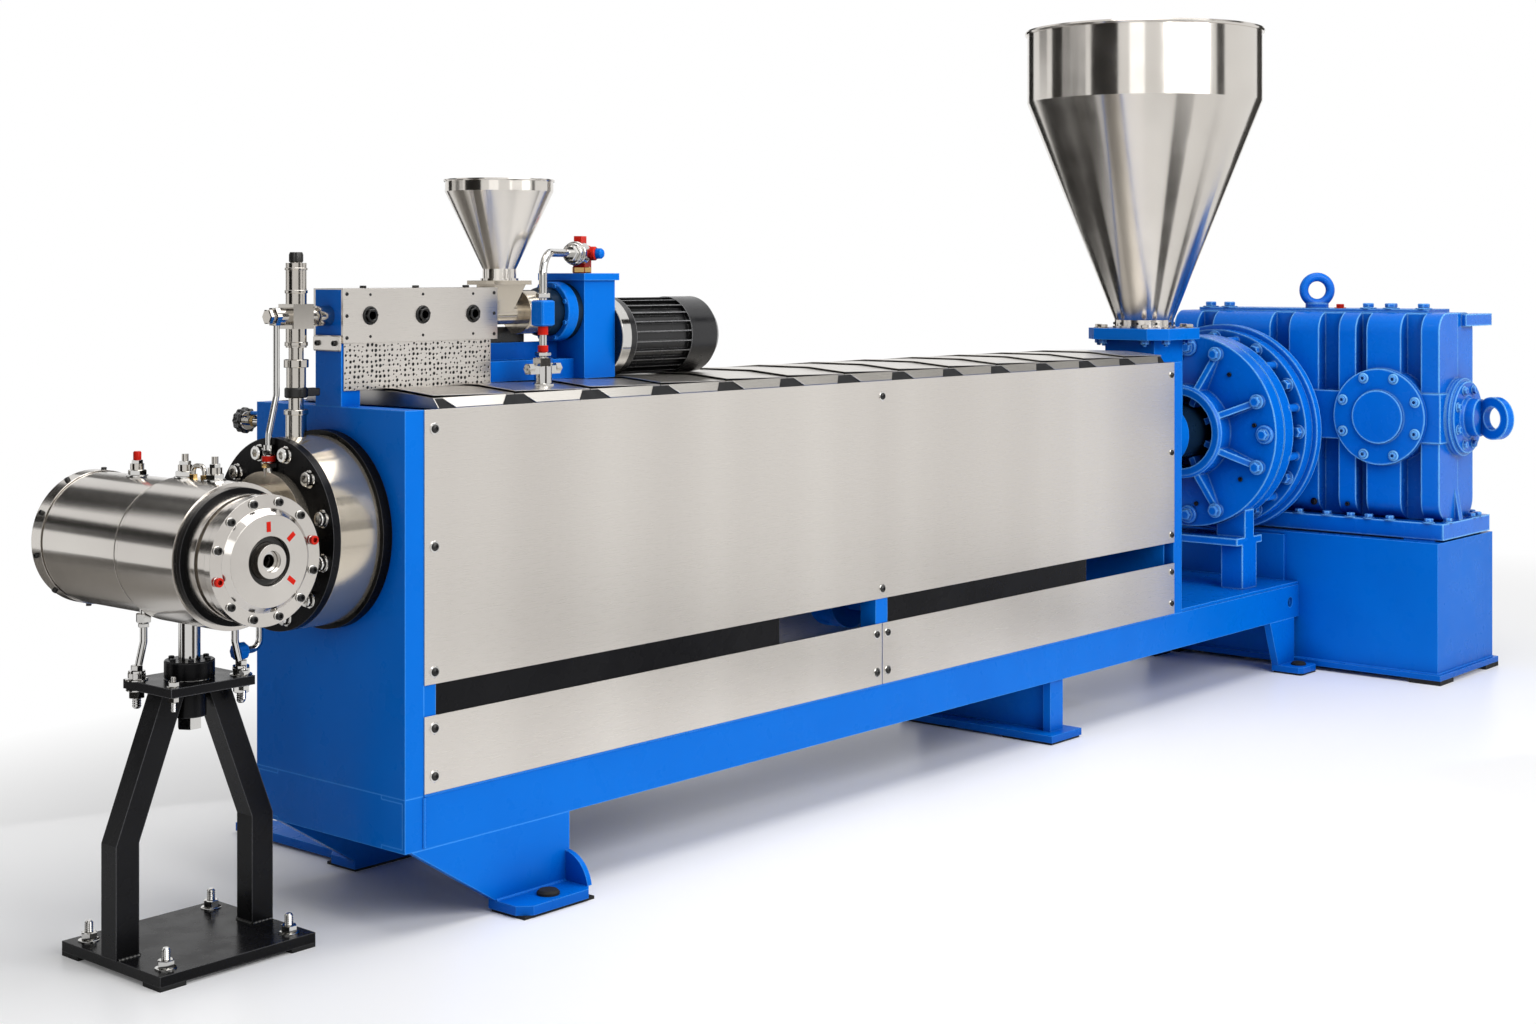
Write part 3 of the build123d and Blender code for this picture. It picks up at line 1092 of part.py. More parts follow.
# Water pipe and valve
def cooling_pipe():
    """An upright water pipe with a manifold at its foot and a bend to the valve."""
    grade = (COVER_CREST_HEIGHT - COVER_KNEE_HEIGHT) / (COVER_KNEE_HALF - COVER_CREST_HALF)
    foot = FRAME_TOP + COVER_KNEE_HEIGHT + grade * (COVER_KNEE_HALF + WATER_PIPE_Y)
    r = WATER_PIPE_RADIUS
    run = hypot(VALVE_X - WATER_PIPE_X, VALVE_Y - WATER_PIPE_Y)
    share = 1 - 6 * r / run
    end_x = WATER_PIPE_X + share * (VALVE_X - WATER_PIPE_X)
    end_y = WATER_PIPE_Y + share * (VALVE_Y - WATER_PIPE_Y)
    pipe = tube([(WATER_PIPE_X, WATER_PIPE_Y, foot + 2 * r), (WATER_PIPE_X, WATER_PIPE_Y, WATER_PIPE_TOP),
                 (end_x, end_y, WATER_PIPE_TOP)], WATER_PIPE_BEND, r)
    manifold = rod_z(2.2 * r, foot - r, foot + 7 * r, WATER_PIPE_X, WATER_PIPE_Y)
    manifold -= plate_yz(cover_section(-FIT_GAP), WATER_PIPE_X - COVER_PITCH, WATER_PIPE_X + COVER_PITCH)
    union = rod_z(2 * r, COEX_AXIS_HEIGHT - 3 * r, COEX_AXIS_HEIGHT + 3 * r, WATER_PIPE_X, WATER_PIPE_Y)
    arms = block(WATER_PIPE_X - 5 * r, WATER_PIPE_X + 5 * r, WATER_PIPE_Y - r, WATER_PIPE_Y + r,
                 foot + 3 * r, foot + 5 * r)
    return pipe + manifold + union + arms


def shutoff_valve():
    """A valve on the gear column's cap, in line with the pipe: union, body, bonnet, end knob, bracket."""
    r = WATER_PIPE_RADIUS
    drop = COEX_COLUMN_TOP + COEX_CAP_THICKNESS - WATER_PIPE_TOP
    body = turned_x([(-6 * r, 0), (-6 * r, 1.6 * r), (-4 * r, 1.6 * r), (-4 * r, 2.6 * r), (-r, 2.6 * r),
                     (-r, 2.2 * r), (4 * r, 2.2 * r), (4 * r, 1.4 * r), (6 * r, 1.2 * r), (6 * r, 0)], 0, 0)
    bracket = block(-2 * r, 3 * r, -1.6 * r, 1.6 * r, drop, 0)
    bonnet = block(-3 * r, r, -r, r, 0, 4.5 * r)
    turn = degrees(atan2(VALVE_Y - WATER_PIPE_Y, VALVE_X - WATER_PIPE_X))
    return Pos(VALVE_X, VALVE_Y, WATER_PIPE_TOP) * Rot(0, 0, turn) * (body + bracket + bonnet)


# Feed section
def feed_block():
    """The feed casting: a round housing on the screw axis and the square throat up to the hopper."""
    half = THROAT_SIZE / 2
    housing = rod_x(FEED_RADIUS, FEED_START, FEED_END, 0, AXIS_HEIGHT)
    throat = block(FEED_CENTRE - half, FEED_CENTRE + half, -half, half, AXIS_HEIGHT, FEED_FLANGE_BOTTOM)
    bore = rod_z(THROAT_BORE, AXIS_HEIGHT, FEED_FLANGE_BOTTOM, FEED_CENTRE, 0)
    rim = rod_x(FEED_RADIUS + POST_SIZE / 2, FEED_START, FEED_START + POST_SIZE / 2, 0, AXIS_HEIGHT)
    return housing + throat + rim - bore


def feed_flange():
    half, cut = FEED_FLANGE_SIZE / 2, FEED_FLANGE_CHAMFER
    outline = [(-half, -half + cut), (-half + cut, -half), (half - cut, -half), (half, -half + cut),
               (half, half - cut), (half - cut, half), (-half + cut, half), (-half, half - cut)]
    plate = Pos(FEED_CENTRE, 0, 0) * plate_xy(outline, FEED_FLANGE_BOTTOM, FEED_FLANGE_TOP)
    return plate - rod_z(THROAT_BORE, FEED_FLANGE_BOTTOM, FEED_FLANGE_TOP, FEED_CENTRE, 0)


# Lantern
def lantern_bell():
    """The turned form: hub ring, two-part front rim with a seam, waist and rear flange."""
    hub_front = LANTERN_FLANGE_X - LANTERN_HUB_LENGTH
    seam = LANTERN_FLANGE_X + LANTERN_FLANGE_LENGTH
    rim, groove = LANTERN_FLANGE_RADIUS, LANTERN_FLANGE_RADIUS - LANTERN_RIM_SEAM
    hub, bore = LANTERN_HUB_RADIUS, SLEEVE_RADIUS + FIT_GAP
    bottom = LANTERN_FLANGE_X + LANTERN_FLANGE_LENGTH / 2
    return turned_x([(hub_front, LANTERN_HUB_BORE), (hub_front, hub - LANTERN_HUB_STEP),
                     (hub_front + LANTERN_HUB_STEP, hub), (LANTERN_FLANGE_X, hub), (LANTERN_FLANGE_X, rim),
                     (seam, rim), (seam, groove), (seam + LANTERN_RIM_SEAM, groove),
                     (seam + LANTERN_RIM_SEAM, rim),
                     (LANTERN_RIM_END, rim), (LANTERN_RIM_END, LANTERN_WAIST_RADIUS),
                     (LANTERN_REAR_X, LANTERN_WAIST_RADIUS), (LANTERN_REAR_X, LANTERN_REAR_RADIUS),
                     (LANTERN_END, LANTERN_REAR_RADIUS), (LANTERN_END, bore), (bottom, bore),
                     (bottom, LANTERN_HUB_BORE)], 0, AXIS_HEIGHT)


def lantern():
    """The cast lantern: its bell, ribs from the hub ring to the bolt bosses and stud bosses in the waist."""
    half = LANTERN_RIB_THICKNESS / 2
    hub_front = LANTERN_FLANGE_X - LANTERN_HUB_LENGTH
    reach = LANTERN_FLANGE_RADIUS - 2 * LANTERN_BOLT_BOSS
    root = LANTERN_HUB_RADIUS - half
    outer_rib = plate_xz([(hub_front + half, root),
                          (hub_front + half, LANTERN_HUB_RADIUS - LANTERN_HUB_STEP / 2),
                          (LANTERN_FLANGE_X - half, reach), (LANTERN_FLANGE_X + half, reach),
                          (LANTERN_FLANGE_X + half, root)], -half, half)
    inner_rib = block(hub_front + 2 * half, LANTERN_FLANGE_X + LANTERN_FLANGE_LENGTH / 2 + half, -half,
                      half,
                      SLEEVE_RADIUS + LANTERN_RIM_SEAM, LANTERN_HUB_BORE + half)
    bell = lantern_bell()
    for i in range(LANTERN_RIB_COUNT):
        turn = Pos(0, 0, AXIS_HEIGHT) * Rot((i + 0.5) * 360 / LANTERN_RIB_COUNT, 0, 0)
        bell += turn * outer_rib
        bell += turn * inner_rib
        bell += turn * rod_x(LANTERN_BOLT_BOSS, LANTERN_FLANGE_X - LANTERN_BOLT_BOSS,
                             LANTERN_FLANGE_X + half, 0, reach)
    stud_circle = LANTERN_REAR_RADIUS - LANTERN_STUD_INSET
    stud = rod_x(LANTERN_STUD_RADIUS, LANTERN_RIM_END - half, LANTERN_REAR_X + half, 0, stud_circle)
    for i in range(LANTERN_STUD_COUNT):
        bell += Pos(0, 0, AXIS_HEIGHT) * Rot((i + 0.5) * 360 / LANTERN_STUD_COUNT, 0, 0) * stud
    return bell


def drive_sleeve():
    """The dark shaft sleeve seen between the feed section and the lantern and inside its hub ring."""
    return rod_x(SLEEVE_RADIUS, FEED_END, LANTERN_END, 0, AXIS_HEIGHT)


def lantern_pedestal():
    """A table on two columns on the rear deck, with a saddle under the lantern's front flange."""
    deck = BEAM_TOP + DECK_THICKNESS
    x = LANTERN_FLANGE_X + LANTERN_FLANGE_LENGTH
    half_x = (LANTERN_FLANGE_LENGTH + LANTERN_RIM_LENGTH) / 4
    table_bottom = PEDESTAL_TABLE_TOP - PEDESTAL_TABLE_THICKNESS
    half_y = PEDESTAL_COLUMN_SPREAD + PEDESTAL_COLUMN_WIDTH / 2
    stand = block(x - PEDESTAL_TABLE_LENGTH / 2, x + PEDESTAL_TABLE_LENGTH / 2, -half_y, half_y,
                  table_bottom, PEDESTAL_TABLE_TOP)
    for side in (-1, 1):
        y = side * PEDESTAL_COLUMN_SPREAD
        stand += block(x - PEDESTAL_COLUMN_LENGTH / 2, x + PEDESTAL_COLUMN_LENGTH / 2,
                       y - PEDESTAL_COLUMN_WIDTH / 2, y + PEDESTAL_COLUMN_WIDTH / 2, deck, table_bottom)
    saddle = block(x - half_x, x + half_x, -half_y, half_y, PEDESTAL_TABLE_TOP, AXIS_HEIGHT)
    saddle -= block(x - half_x, x + half_x, -PEDESTAL_SADDLE_WIDTH, PEDESTAL_SADDLE_WIDTH,
                    PEDESTAL_TABLE_TOP, AXIS_HEIGHT)
    saddle -= rod_x(LANTERN_FLANGE_RADIUS + FIT_GAP, x - 2 * half_x, x + 2 * half_x, 0, AXIS_HEIGHT)
    return stand + saddle


# Gearbox
def case_body():
    """The cast body: rounded shoulders and upright slots between flat ribs, front and back."""
    with BuildSketch(Plane.XZ) as outline:
        with Locations((CASE_X + CASE_LENGTH / 2, (CASE_BOTTOM + CASE_TOP) / 2)):
            Rectangle(CASE_LENGTH, CASE_TOP - CASE_BOTTOM)
        fillet(outline.vertices().group_by(Axis.Z)[-1], CASE_TOP_RADIUS)
    body = extrude(Pos(0, CASE_NEAR, 0) * outline.sketch, amount=CASE_FAR - CASE_NEAR, dir=(0, 1, 0))
    for y, width in SLOTS:
        for x0, x1 in ((CASE_X, CASE_X + SLOT_DEPTH), (CASE_END - SLOT_DEPTH, CASE_END)):
            body -= block(x0, x1, y, y + width, CASE_BOTTOM, CASE_TOP)
    middle = CASE_X + CASE_LENGTH / 2
    return body - block(middle, CASE_END, CASE_NEAR, CASE_NEAR + CASE_END_STEP, CASE_BOTTOM, CASE_TOP)


def gearbox_case():
    """The case: its body, split band at shaft height, bosses, lid, foot flange, end gusset and lug."""
    middle = CASE_X + CASE_LENGTH / 2
    band, proud = SPLIT_BAND_HEIGHT / 2, SPLIT_BAND_PROUD
    z = INTERMEDIATE_SHAFT_HEIGHT
    case = case_body()
    case += block(CASE_X - proud, CASE_END + proud, CASE_NEAR - proud, CASE_FAR + proud, z - band, z + band)
    case += rod_x(COVER_RADIUS, CASE_X - proud, CASE_END + proud, INTERMEDIATE_SHAFT_Y, z)
    case += rod_x(COVER_RADIUS, CASE_END - SLOT_DEPTH, CASE_END + proud, 0, AXIS_HEIGHT)
    case += rod_x(CASE_RING_RADIUS, LANTERN_END, LANTERN_END + CASE_RING_LENGTH, 0, AXIS_HEIGHT)
    case += rod_x(CASE_NECK_RADIUS, LANTERN_END, CASE_X + SLOT_DEPTH, 0, AXIS_HEIGHT)
    case += rod_y(END_COVER_RADIUS, CASE_NEAR - 2 * proud, CASE_NEAR + CASE_END_STEP, middle, z)
    inset = CASE_TOP_RADIUS
    case += block(CASE_X + inset, CASE_END - inset, CASE_NEAR + inset, CASE_FAR - inset,
                  CASE_TOP - LID_THICKNESS,
                  CASE_TOP + LID_THICKNESS)
    reach = CASE_FLANGE_REACH
    case += block(CASE_X - reach, CASE_END + CASE_FLANGE_REAR_REACH, CASE_NEAR - reach, CASE_FAR + reach,
                  CASE_FLANGE_BOTTOM, CASE_BOTTOM)
    case += plate_yz([(CASE_NEAR + proud, CASE_BOTTOM - proud),
                      (CASE_NEAR - reach + proud, CASE_BOTTOM - proud),
                      (CASE_NEAR - reach + proud, CASE_BOTTOM),
                      (CASE_NEAR + proud, CASE_BOTTOM + END_GUSSET_HEIGHT)],
                     middle - END_GUSSET_THICKNESS, middle)
    lug_top = CASE_TOP - LID_THICKNESS / 2
    lug_end = CASE_END + LUG_REACH
    case += block(lug_end - LUG_LENGTH, lug_end, CASE_NEAR - proud, CASE_NEAR - proud + LUG_WIDTH,
                  lug_top - LUG_HEIGHT,
                  lug_top)
    return case


COVER_FACE = CASE_X - SPLIT_BAND_PROUD
COVER_BACK = CASE_END + SPLIT_BAND_PROUD
END_COVER_FACE = CASE_NEAR - 2 * SPLIT_BAND_PROUD
END_COVER_NEAR = END_COVER_FACE - END_COVER_THICKNESS
END_HUB_NEAR = END_COVER_NEAR - END_HUB_LENGTH


def shaft_cover(x, direction, y, z):
    """A round bearing cover with a raised middle, standing out from x along X in the given direction."""
    rim = x + direction * COVER_THICKNESS
    top = rim + direction * COVER_CAP_THICKNESS
    return rod_x(COVER_RADIUS, *sorted((x, rim)), y, z) + rod_x(COVER_CAP_RADIUS, *sorted((rim, top)), y, z)


def end_cover():
    """The stepped cover on the near end of the case, with the hub that carries the pulling eye."""
    small = END_COVER_RADIUS - END_COVER_STEP
    mid = (END_COVER_NEAR + END_COVER_FACE) / 2
    return turned_y([(END_COVER_FACE, 0), (END_COVER_FACE, END_COVER_RADIUS), (mid, END_COVER_RADIUS),
                     (mid, small),
                     (END_COVER_NEAR, small), (END_COVER_NEAR, END_HUB_RADIUS + END_COVER_STEP),
                     (END_COVER_NEAR - END_COVER_STEP, END_HUB_RADIUS), (END_HUB_NEAR, END_HUB_RADIUS),
                     (END_HUB_NEAR, 0)], CASE_X + CASE_LENGTH / 2, INTERMEDIATE_SHAFT_HEIGHT)


def bearing_covers():
    """Round covers: the intermediate shaft in front and behind, the output shaft behind, the near end."""
    z = INTERMEDIATE_SHAFT_HEIGHT
    return Compound([shaft_cover(COVER_FACE, -1, INTERMEDIATE_SHAFT_Y, z),
                     shaft_cover(COVER_BACK, 1, INTERMEDIATE_SHAFT_Y, z),
                     shaft_cover(COVER_BACK, 1, 0, AXIS_HEIGHT), end_cover()])


def input_shaft():
    x0 = COVER_BACK + COVER_THICKNESS + COVER_CAP_THICKNESS
    x1 = x0 + INPUT_SHAFT_LENGTH
    r, chamfer_size = INPUT_SHAFT_RADIUS, INPUT_SHAFT_CHAMFER
    return turned_x([(x0, 0), (x0, r), (x1, r), (x1 + chamfer_size, r - chamfer_size),
                     (x1 + chamfer_size, 0)],
                    INTERMEDIATE_SHAFT_Y, INTERMEDIATE_SHAFT_HEIGHT)


def lifting_eyes():
    """An eye bolt on the lid and a flat pulling eye on the hub of the end cover."""
    x = CASE_X + CASE_LENGTH / 2
    lid_top = CASE_TOP + LID_THICKNESS
    ring_z = lid_top + EYE_BAR_RADIUS + EYE_RING_RADIUS
    ring = Pos(x, EYE_Y, ring_z) * Rot(0, 0, EYE_TURN) * Rot(0, 90, 0) * Torus(EYE_RING_RADIUS,
                                                                               EYE_BAR_RADIUS)
    base = rod_z(EYE_BASE_RADIUS, lid_top, lid_top + EYE_BAR_RADIUS, x, EYE_Y)
    half = END_EYE_THICKNESS / 2
    y = END_HUB_NEAR - END_EYE_HOLE - END_EYE_WALL
    z = INTERMEDIATE_SHAFT_HEIGHT
    flat = rod_x(END_EYE_RADIUS, -half, half, 0, 0) - rod_x(END_EYE_HOLE, -half, half, 0, 0)
    eye = Pos(x, y, z) * Rot(0, 0, END_EYE_TURN) * flat
    reach = 2 * END_EYE_RADIUS
    eye &= block(x - reach, x + reach, y - reach, END_HUB_NEAR, z - reach, z + reach)
    return Compound([ring + base, eye])


def gear_base():
    """The box base of the gearbox on its floor plate, with raised pads under the case's flange."""
    x1 = GEAR_BASE_X + GEAR_BASE_LENGTH
    plate_top = GEAR_PAD_THICKNESS + GEAR_BASE_PLATE
    reach = GEAR_BASE_REACH
    box = block(GEAR_BASE_X, x1, GEAR_BASE_NEAR, GEAR_BASE_FAR, plate_top, GEAR_BASE_TOP)
    plate = block(GEAR_BASE_X - reach, x1 + reach, GEAR_BASE_NEAR - reach, GEAR_BASE_FAR + reach,
                  GEAR_PAD_THICKNESS,
                  plate_top)
    base = box + plate
    inset = 2 * GEAR_BASE_REACH
    for x in (GEAR_BASE_X + inset + reach, x1 - inset - GEAR_PAD_SIZE):
        for y in (GEAR_BASE_NEAR + inset, GEAR_BASE_FAR - inset - GEAR_PAD_SIZE):
            base += block(x, x + GEAR_PAD_SIZE, y, y + GEAR_PAD_SIZE, GEAR_BASE_TOP, CASE_FLANGE_BOTTOM)
    return base


NODES = {
    "front_end_plate": front_end_plate(),
    "base_beams": base_beams(),
    "cross_members": cross_members(),
    "rear_deck": rear_deck(),
    "frame_posts": frame_posts(),
    "top_rails": top_rails(),
    "frame_feet": frame_feet(),
    "foot_pads": foot_pads(),
    "upper_side_panels": upper_side_panels(),
    "lower_side_panels": lower_side_panels(),
    "barrel_top_covers": barrel_top_covers(),
    "slot_shields": slot_shields(),
    "barrel": barrel(),
    "heater_jackets": heater_jackets(),
    "cooling_blowers": cooling_blowers(),
    "adapter_back_ring": adapter_back_ring(),
    "adapter_drum": adapter_drum(),
    "adapter_flange": adapter_flange(),
    "crosshead_neck": crosshead_neck(),
    "crosshead_body": crosshead_body(),
    "crosshead_fittings": crosshead_fittings(),
    "die_lock_ring": die_lock_ring(),
    "die_holder": die_holder(),
    "die_face": die_face(),
    "stand_frame": stand_frame(),
    "stand_jack": stand_jack(),
    "drain_pipes": drain_pipes(),
    "water_taps": water_taps(),
    "melt_column": melt_column(),
    "bypass_pipe": bypass_pipe(),
    "coex_post": coex_post(),
    "coex_barrel_cover": coex_barrel_cover(),
    "coex_guard": coex_guard(),
    "coex_support": coex_support(),
    "coex_barrel": coex_barrel(),
    "coex_coupling": coex_coupling(),
    "coex_gear_column": coex_gear_column(),
    "coex_motor": coex_motor(),
    "small_hopper_cone": hopper_cone(SMALL_HOPPER_X, SMALL_HOPPER_NECK_RADIUS, SMALL_HOPPER_BOTTOM,
                                     SMALL_HOPPER_CONE_BOTTOM, SMALL_HOPPER_CONE_TOP, SMALL_HOPPER_RADIUS,
                                     SMALL_HOPPER_SHEET),
    "small_hopper_cylinder": hopper_cylinder(SMALL_HOPPER_X, SMALL_HOPPER_CONE_TOP, SMALL_HOPPER_TOP,
                                             SMALL_HOPPER_RADIUS, SMALL_HOPPER_SHEET, SMALL_HOPPER_SHEET),
    "cooling_pipe": cooling_pipe(),
    "shutoff_valve": shutoff_valve(),
    "feed_block": feed_block(),
    "feed_flange": feed_flange(),
    "hopper_cone": hopper_cone(FEED_CENTRE, HOPPER_NECK_RADIUS, FEED_FLANGE_TOP, HOPPER_CONE_BOTTOM,
                               HOPPER_CONE_TOP,
                               HOPPER_RADIUS, HOPPER_SHEET),
    "hopper_cylinder": hopper_cylinder(FEED_CENTRE, HOPPER_CONE_TOP, HOPPER_TOP, HOPPER_RADIUS,
                                       HOPPER_SHEET,
                                       HOPPER_RIM_RADIUS),
    "lantern": lantern(),
    "drive_sleeve": drive_sleeve(),
    "lantern_pedestal": lantern_pedestal(),
    "gearbox_case": gearbox_case(),
    "bearing_covers": bearing_covers(),
    "input_shaft": input_shaft(),
    "lifting_eyes": lifting_eyes(),
    "gear_base": gear_base(),
}

os.makedirs("parts", exist_ok=True)
for name, shape in NODES.items():
    export_step(Pos(-ORIGIN_X, 0, 0) * shape, f"parts/{name}.step")
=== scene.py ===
import json
import math
import random

import bpy
from mathutils import Matrix, Vector


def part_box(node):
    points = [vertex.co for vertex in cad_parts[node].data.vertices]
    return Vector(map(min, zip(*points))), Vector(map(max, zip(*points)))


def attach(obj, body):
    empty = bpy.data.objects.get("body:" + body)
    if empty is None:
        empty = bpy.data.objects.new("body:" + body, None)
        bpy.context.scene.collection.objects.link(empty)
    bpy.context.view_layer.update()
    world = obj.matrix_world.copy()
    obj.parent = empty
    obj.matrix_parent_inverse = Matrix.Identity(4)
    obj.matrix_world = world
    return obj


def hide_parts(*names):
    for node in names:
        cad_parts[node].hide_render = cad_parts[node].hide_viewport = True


# Looks for the plastic extruder: finishes on the CAD nodes, fasteners and small fittings, studio and camera.

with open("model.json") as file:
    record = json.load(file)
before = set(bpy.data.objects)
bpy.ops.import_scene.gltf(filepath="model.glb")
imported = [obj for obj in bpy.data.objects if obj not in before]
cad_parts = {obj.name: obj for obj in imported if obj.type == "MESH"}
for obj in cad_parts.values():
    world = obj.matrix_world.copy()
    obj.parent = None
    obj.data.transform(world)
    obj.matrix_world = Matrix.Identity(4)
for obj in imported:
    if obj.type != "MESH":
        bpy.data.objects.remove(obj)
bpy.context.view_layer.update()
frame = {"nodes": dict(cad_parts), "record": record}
nodes = frame["nodes"]

# Places are in machine millimetres: X from the end plate's front, Y from the screw axis, Z from the floor
FRONT_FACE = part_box("front_end_plate")[0].x
TO_METRES = Matrix.Scale(0.001, 4)
MACHINE = Matrix.Translation((FRONT_FACE, 0, 0)) @ TO_METRES


def mm(x, y, z):
    """A point given in machine millimetres, in the frame's metres."""
    return MACHINE @ Vector((x, y, z))


def span(name):
    """A node's lowest corner, highest corner and middle in machine millimetres."""
    low, high = (MACHINE.inverted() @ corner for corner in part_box(name))
    return low, high, (low + high) / 2


# Materials
# Places of the two colour inputs and the colour output among a Mix node's sockets
COLOUR_A, COLOUR_B, COLOUR_OUT = 6, 7, 2


class Shader:
    """A material with one Principled shader and short ways to add nodes to it."""

    def __init__(self, name, **sockets):
        self.material = bpy.data.materials.new(name)
        self.material.use_nodes = True
        self.tree = self.material.node_tree
        self.shader = self.tree.nodes["Principled BSDF"]
        for socket, value in sockets.items():
            self.shader.inputs[socket.replace("_", " ")].default_value = value

    def node(self, kind, **values):
        made = self.tree.nodes.new("ShaderNode" + kind)
        for key, value in values.items():
            if key in made.inputs:
                made.inputs[key].default_value = value
            else:
                setattr(made, key, value)
        return made

    def link(self, source, target, socket):
        output = source if isinstance(source, bpy.types.NodeSocket) else source.outputs[0]
        self.tree.links.new(output, target.inputs[socket])

    def noise(self, scale, stretch=(1, 1, 1), detail=3.0):
        """Noise over the object's own coordinates in metres, stretched along the axes."""
        place = self.node("TexCoord")
        mapping = self.node("Mapping", Scale=stretch)
        self.link(place.outputs["Object"], mapping, "Vector")
        texture = self.node("TexNoise", Scale=scale, Detail=detail)
        self.link(mapping, texture, "Vector")
        return texture.outputs["Fac"]

    def spread(self, source, low, high, start=0.3, end=0.7):
        """Maps a value between start and end to the range from low to high."""
        ramp = self.node("MapRange")
        for socket, value in zip(("From Min", "From Max", "To Min", "To Max"), (start, end, low, high)):
            ramp.inputs[socket].default_value = value
        self.link(source, ramp, "Value")
        return ramp.outputs["Result"]

    def blend(self, factor, first, second):
        """Mixes two colours, each given as numbers or as a socket."""
        mix = self.node("Mix", data_type="RGBA")
        self.link(factor, mix, "Factor")
        for socket, colour in ((COLOUR_A, first), (COLOUR_B, second)):
            if isinstance(colour, bpy.types.NodeSocket):
                self.tree.links.new(colour, mix.inputs[socket])
            else:
                mix.inputs[socket].default_value = (*colour, 1)
        return mix.outputs[COLOUR_OUT]

    def edge_mask(self, radius):
        """Painted highlight: one along edges, where the rounded normal departs from the face's own, and zero
        on faces.
        """
        bevel = self.node("Bevel", samples=6, Radius=radius)
        face = self.node("NewGeometry")
        dot = self.node("VectorMath", operation="DOT_PRODUCT")
        self.link(bevel, dot, 0)
        self.link(face.outputs["Normal"], dot, 1)
        return self.spread(dot.outputs["Value"], 0, 1, start=0.995, end=0.88)

    def hollows(self, distance):
        """Painted shade: zero in corners and grooves, where shade falls, and one on open faces."""
        shelter = self.node("AmbientOcclusion", samples=6, Distance=distance)
        return self.spread(shelter.outputs["AO"], 0, 1, start=0.3, end=0.9)

    def colour(self, socket):
        self.link(socket, self.shader, "Base Color")

    def roughness(self, source, low, high):
        self.link(self.spread(source, low, high), self.shader, "Roughness")

    def relief(self, source, strength, distance, edge=0.0):
        """Bump from a noise value, over edges that are rounded by a small radius."""
        bump = self.node("Bump", Strength=strength, Distance=distance)
        self.link(source, bump, "Height")
        if edge:
            bevel = self.node("Bevel", samples=4, Radius=edge)
            self.link(bevel, bump, "Normal")
        self.link(bump, self.shader, "Normal")

    def grain(self, axis, amount, turn):
        """Stretches reflections round or along an axis, as turned and brushed metal does."""
        tangent = self.node("Tangent", direction_type="RADIAL", axis=axis)
        self.link(tangent, self.shader, "Tangent")
        self.shader.inputs["Anisotropic"].default_value = amount
        self.shader.inputs["Anisotropic Rotation"].default_value = turn


def enamel(name, hollow_shade, dark, light, highlight_colour, rough=0.24, specular=0.07, edge=0.005):
    """Machine paint: faint patches, slight orange peel, painted shade in hollows and painted highlights
    along edges.
    """
    paint = Shader(name, Specular_IOR_Level=specular)
    patches = paint.blend(paint.spread(paint.noise(2.5), 0, 1), dark, light)
    # Painted highlight: edges mixed towards a lighter colour
    highlighted = paint.blend(paint.edge_mask(edge), patches, highlight_colour)
    # Painted shade: corners and grooves mixed towards a darker colour
    paint.colour(paint.blend(paint.hollows(0.12), hollow_shade, highlighted))
    paint.roughness(paint.noise(14.0, detail=5.0), rough, rough + 0.12)
    paint.relief(paint.noise(240.0, detail=2.0), strength=0.08, distance=0.0005, edge=edge / 2)
    return paint.material


def brushed(name, dark, light, stretch, rough, bump=0.03, edge=0.0015, bands=(1, 1, 1)):
    """Brushed or turned metal: fine grain along one direction, faint bands of polish, which on flat sheet
    stand upright and are partly painted reflection.
    """
    metal = Shader(name, Metallic=1.0)
    metal.colour(metal.blend(metal.spread(metal.noise(2.6, bands, 1.0), 0, 1), dark, light))
    lines = metal.noise(1500.0, stretch, 2.0)
    metal.roughness(lines, *rough)
    metal.relief(lines, bump, distance=0.0003, edge=edge)
    return metal


def polished(name, dark, light, rough):
    """Bright sheet or plating: smooth, with faint waves."""
    metal = Shader(name, Metallic=1.0)
    metal.colour(metal.blend(metal.spread(metal.noise(2.2, detail=2.0), 0, 1), dark, light))
    metal.roughness(metal.noise(9.0, detail=4.0), *rough)
    metal.relief(metal.noise(5.0, (1, 1, 0.4), 2.0), strength=0.06, distance=0.003)
    return metal


def cast(name, dark, light, metallic=1.0, rough=(0.42, 0.6)):
    """Dull cast, blackened or rubber surface."""
    metal = Shader(name, Metallic=metallic, Specular_IOR_Level=0.2)
    metal.colour(metal.blend(metal.spread(metal.noise(6.0), 0, 1), dark, light))
    metal.roughness(metal.noise(30.0), *rough)
    metal.relief(metal.noise(420.0, detail=5.0), strength=0.3, distance=0.0006, edge=0.002)
    return metal.material


def turned_steel(name, dark, light, axis, stretch, metallic=1.0):
    """Turned steel: its reflections are drawn out along the axis it was turned about."""
    metal = brushed(name, dark, light, stretch, (0.13, 0.18), 0.04)
    metal.grain(axis, amount=0.8, turn=0.25)
    metal.shader.inputs["Metallic"].default_value = metallic
    return metal.material


def sheet_panel(name, dark, light):
    """Flat sheet brushed along the machine, with faint upright bands, partly polish and partly painted
    reflection.
    """
    return brushed(name, dark, light, ALONG_X, (0.27, 0.30), 0.015, bands=ACROSS_X).material


def sheet_steel():
    """Rolled sheet: its reflections run up and down the hoppers."""
    metal = polished("rolled_stainless", (0.58, 0.545, 0.50), (0.68, 0.645, 0.60), (0.15, 0.20))
    metal.grain("Z", amount=0.9, turn=0.25)
    return metal.material


# Stretch of a grain's noise along the three axes
ALONG_X = (0.008, 1, 1)
ROUND_X = (1, 0.03, 0.03)
ROUND_Y = (0.03, 1, 0.03)
# Upright bands on flat sheet: partly polish, partly painted reflection
ACROSS_X = (1, 0.05, 0.05)
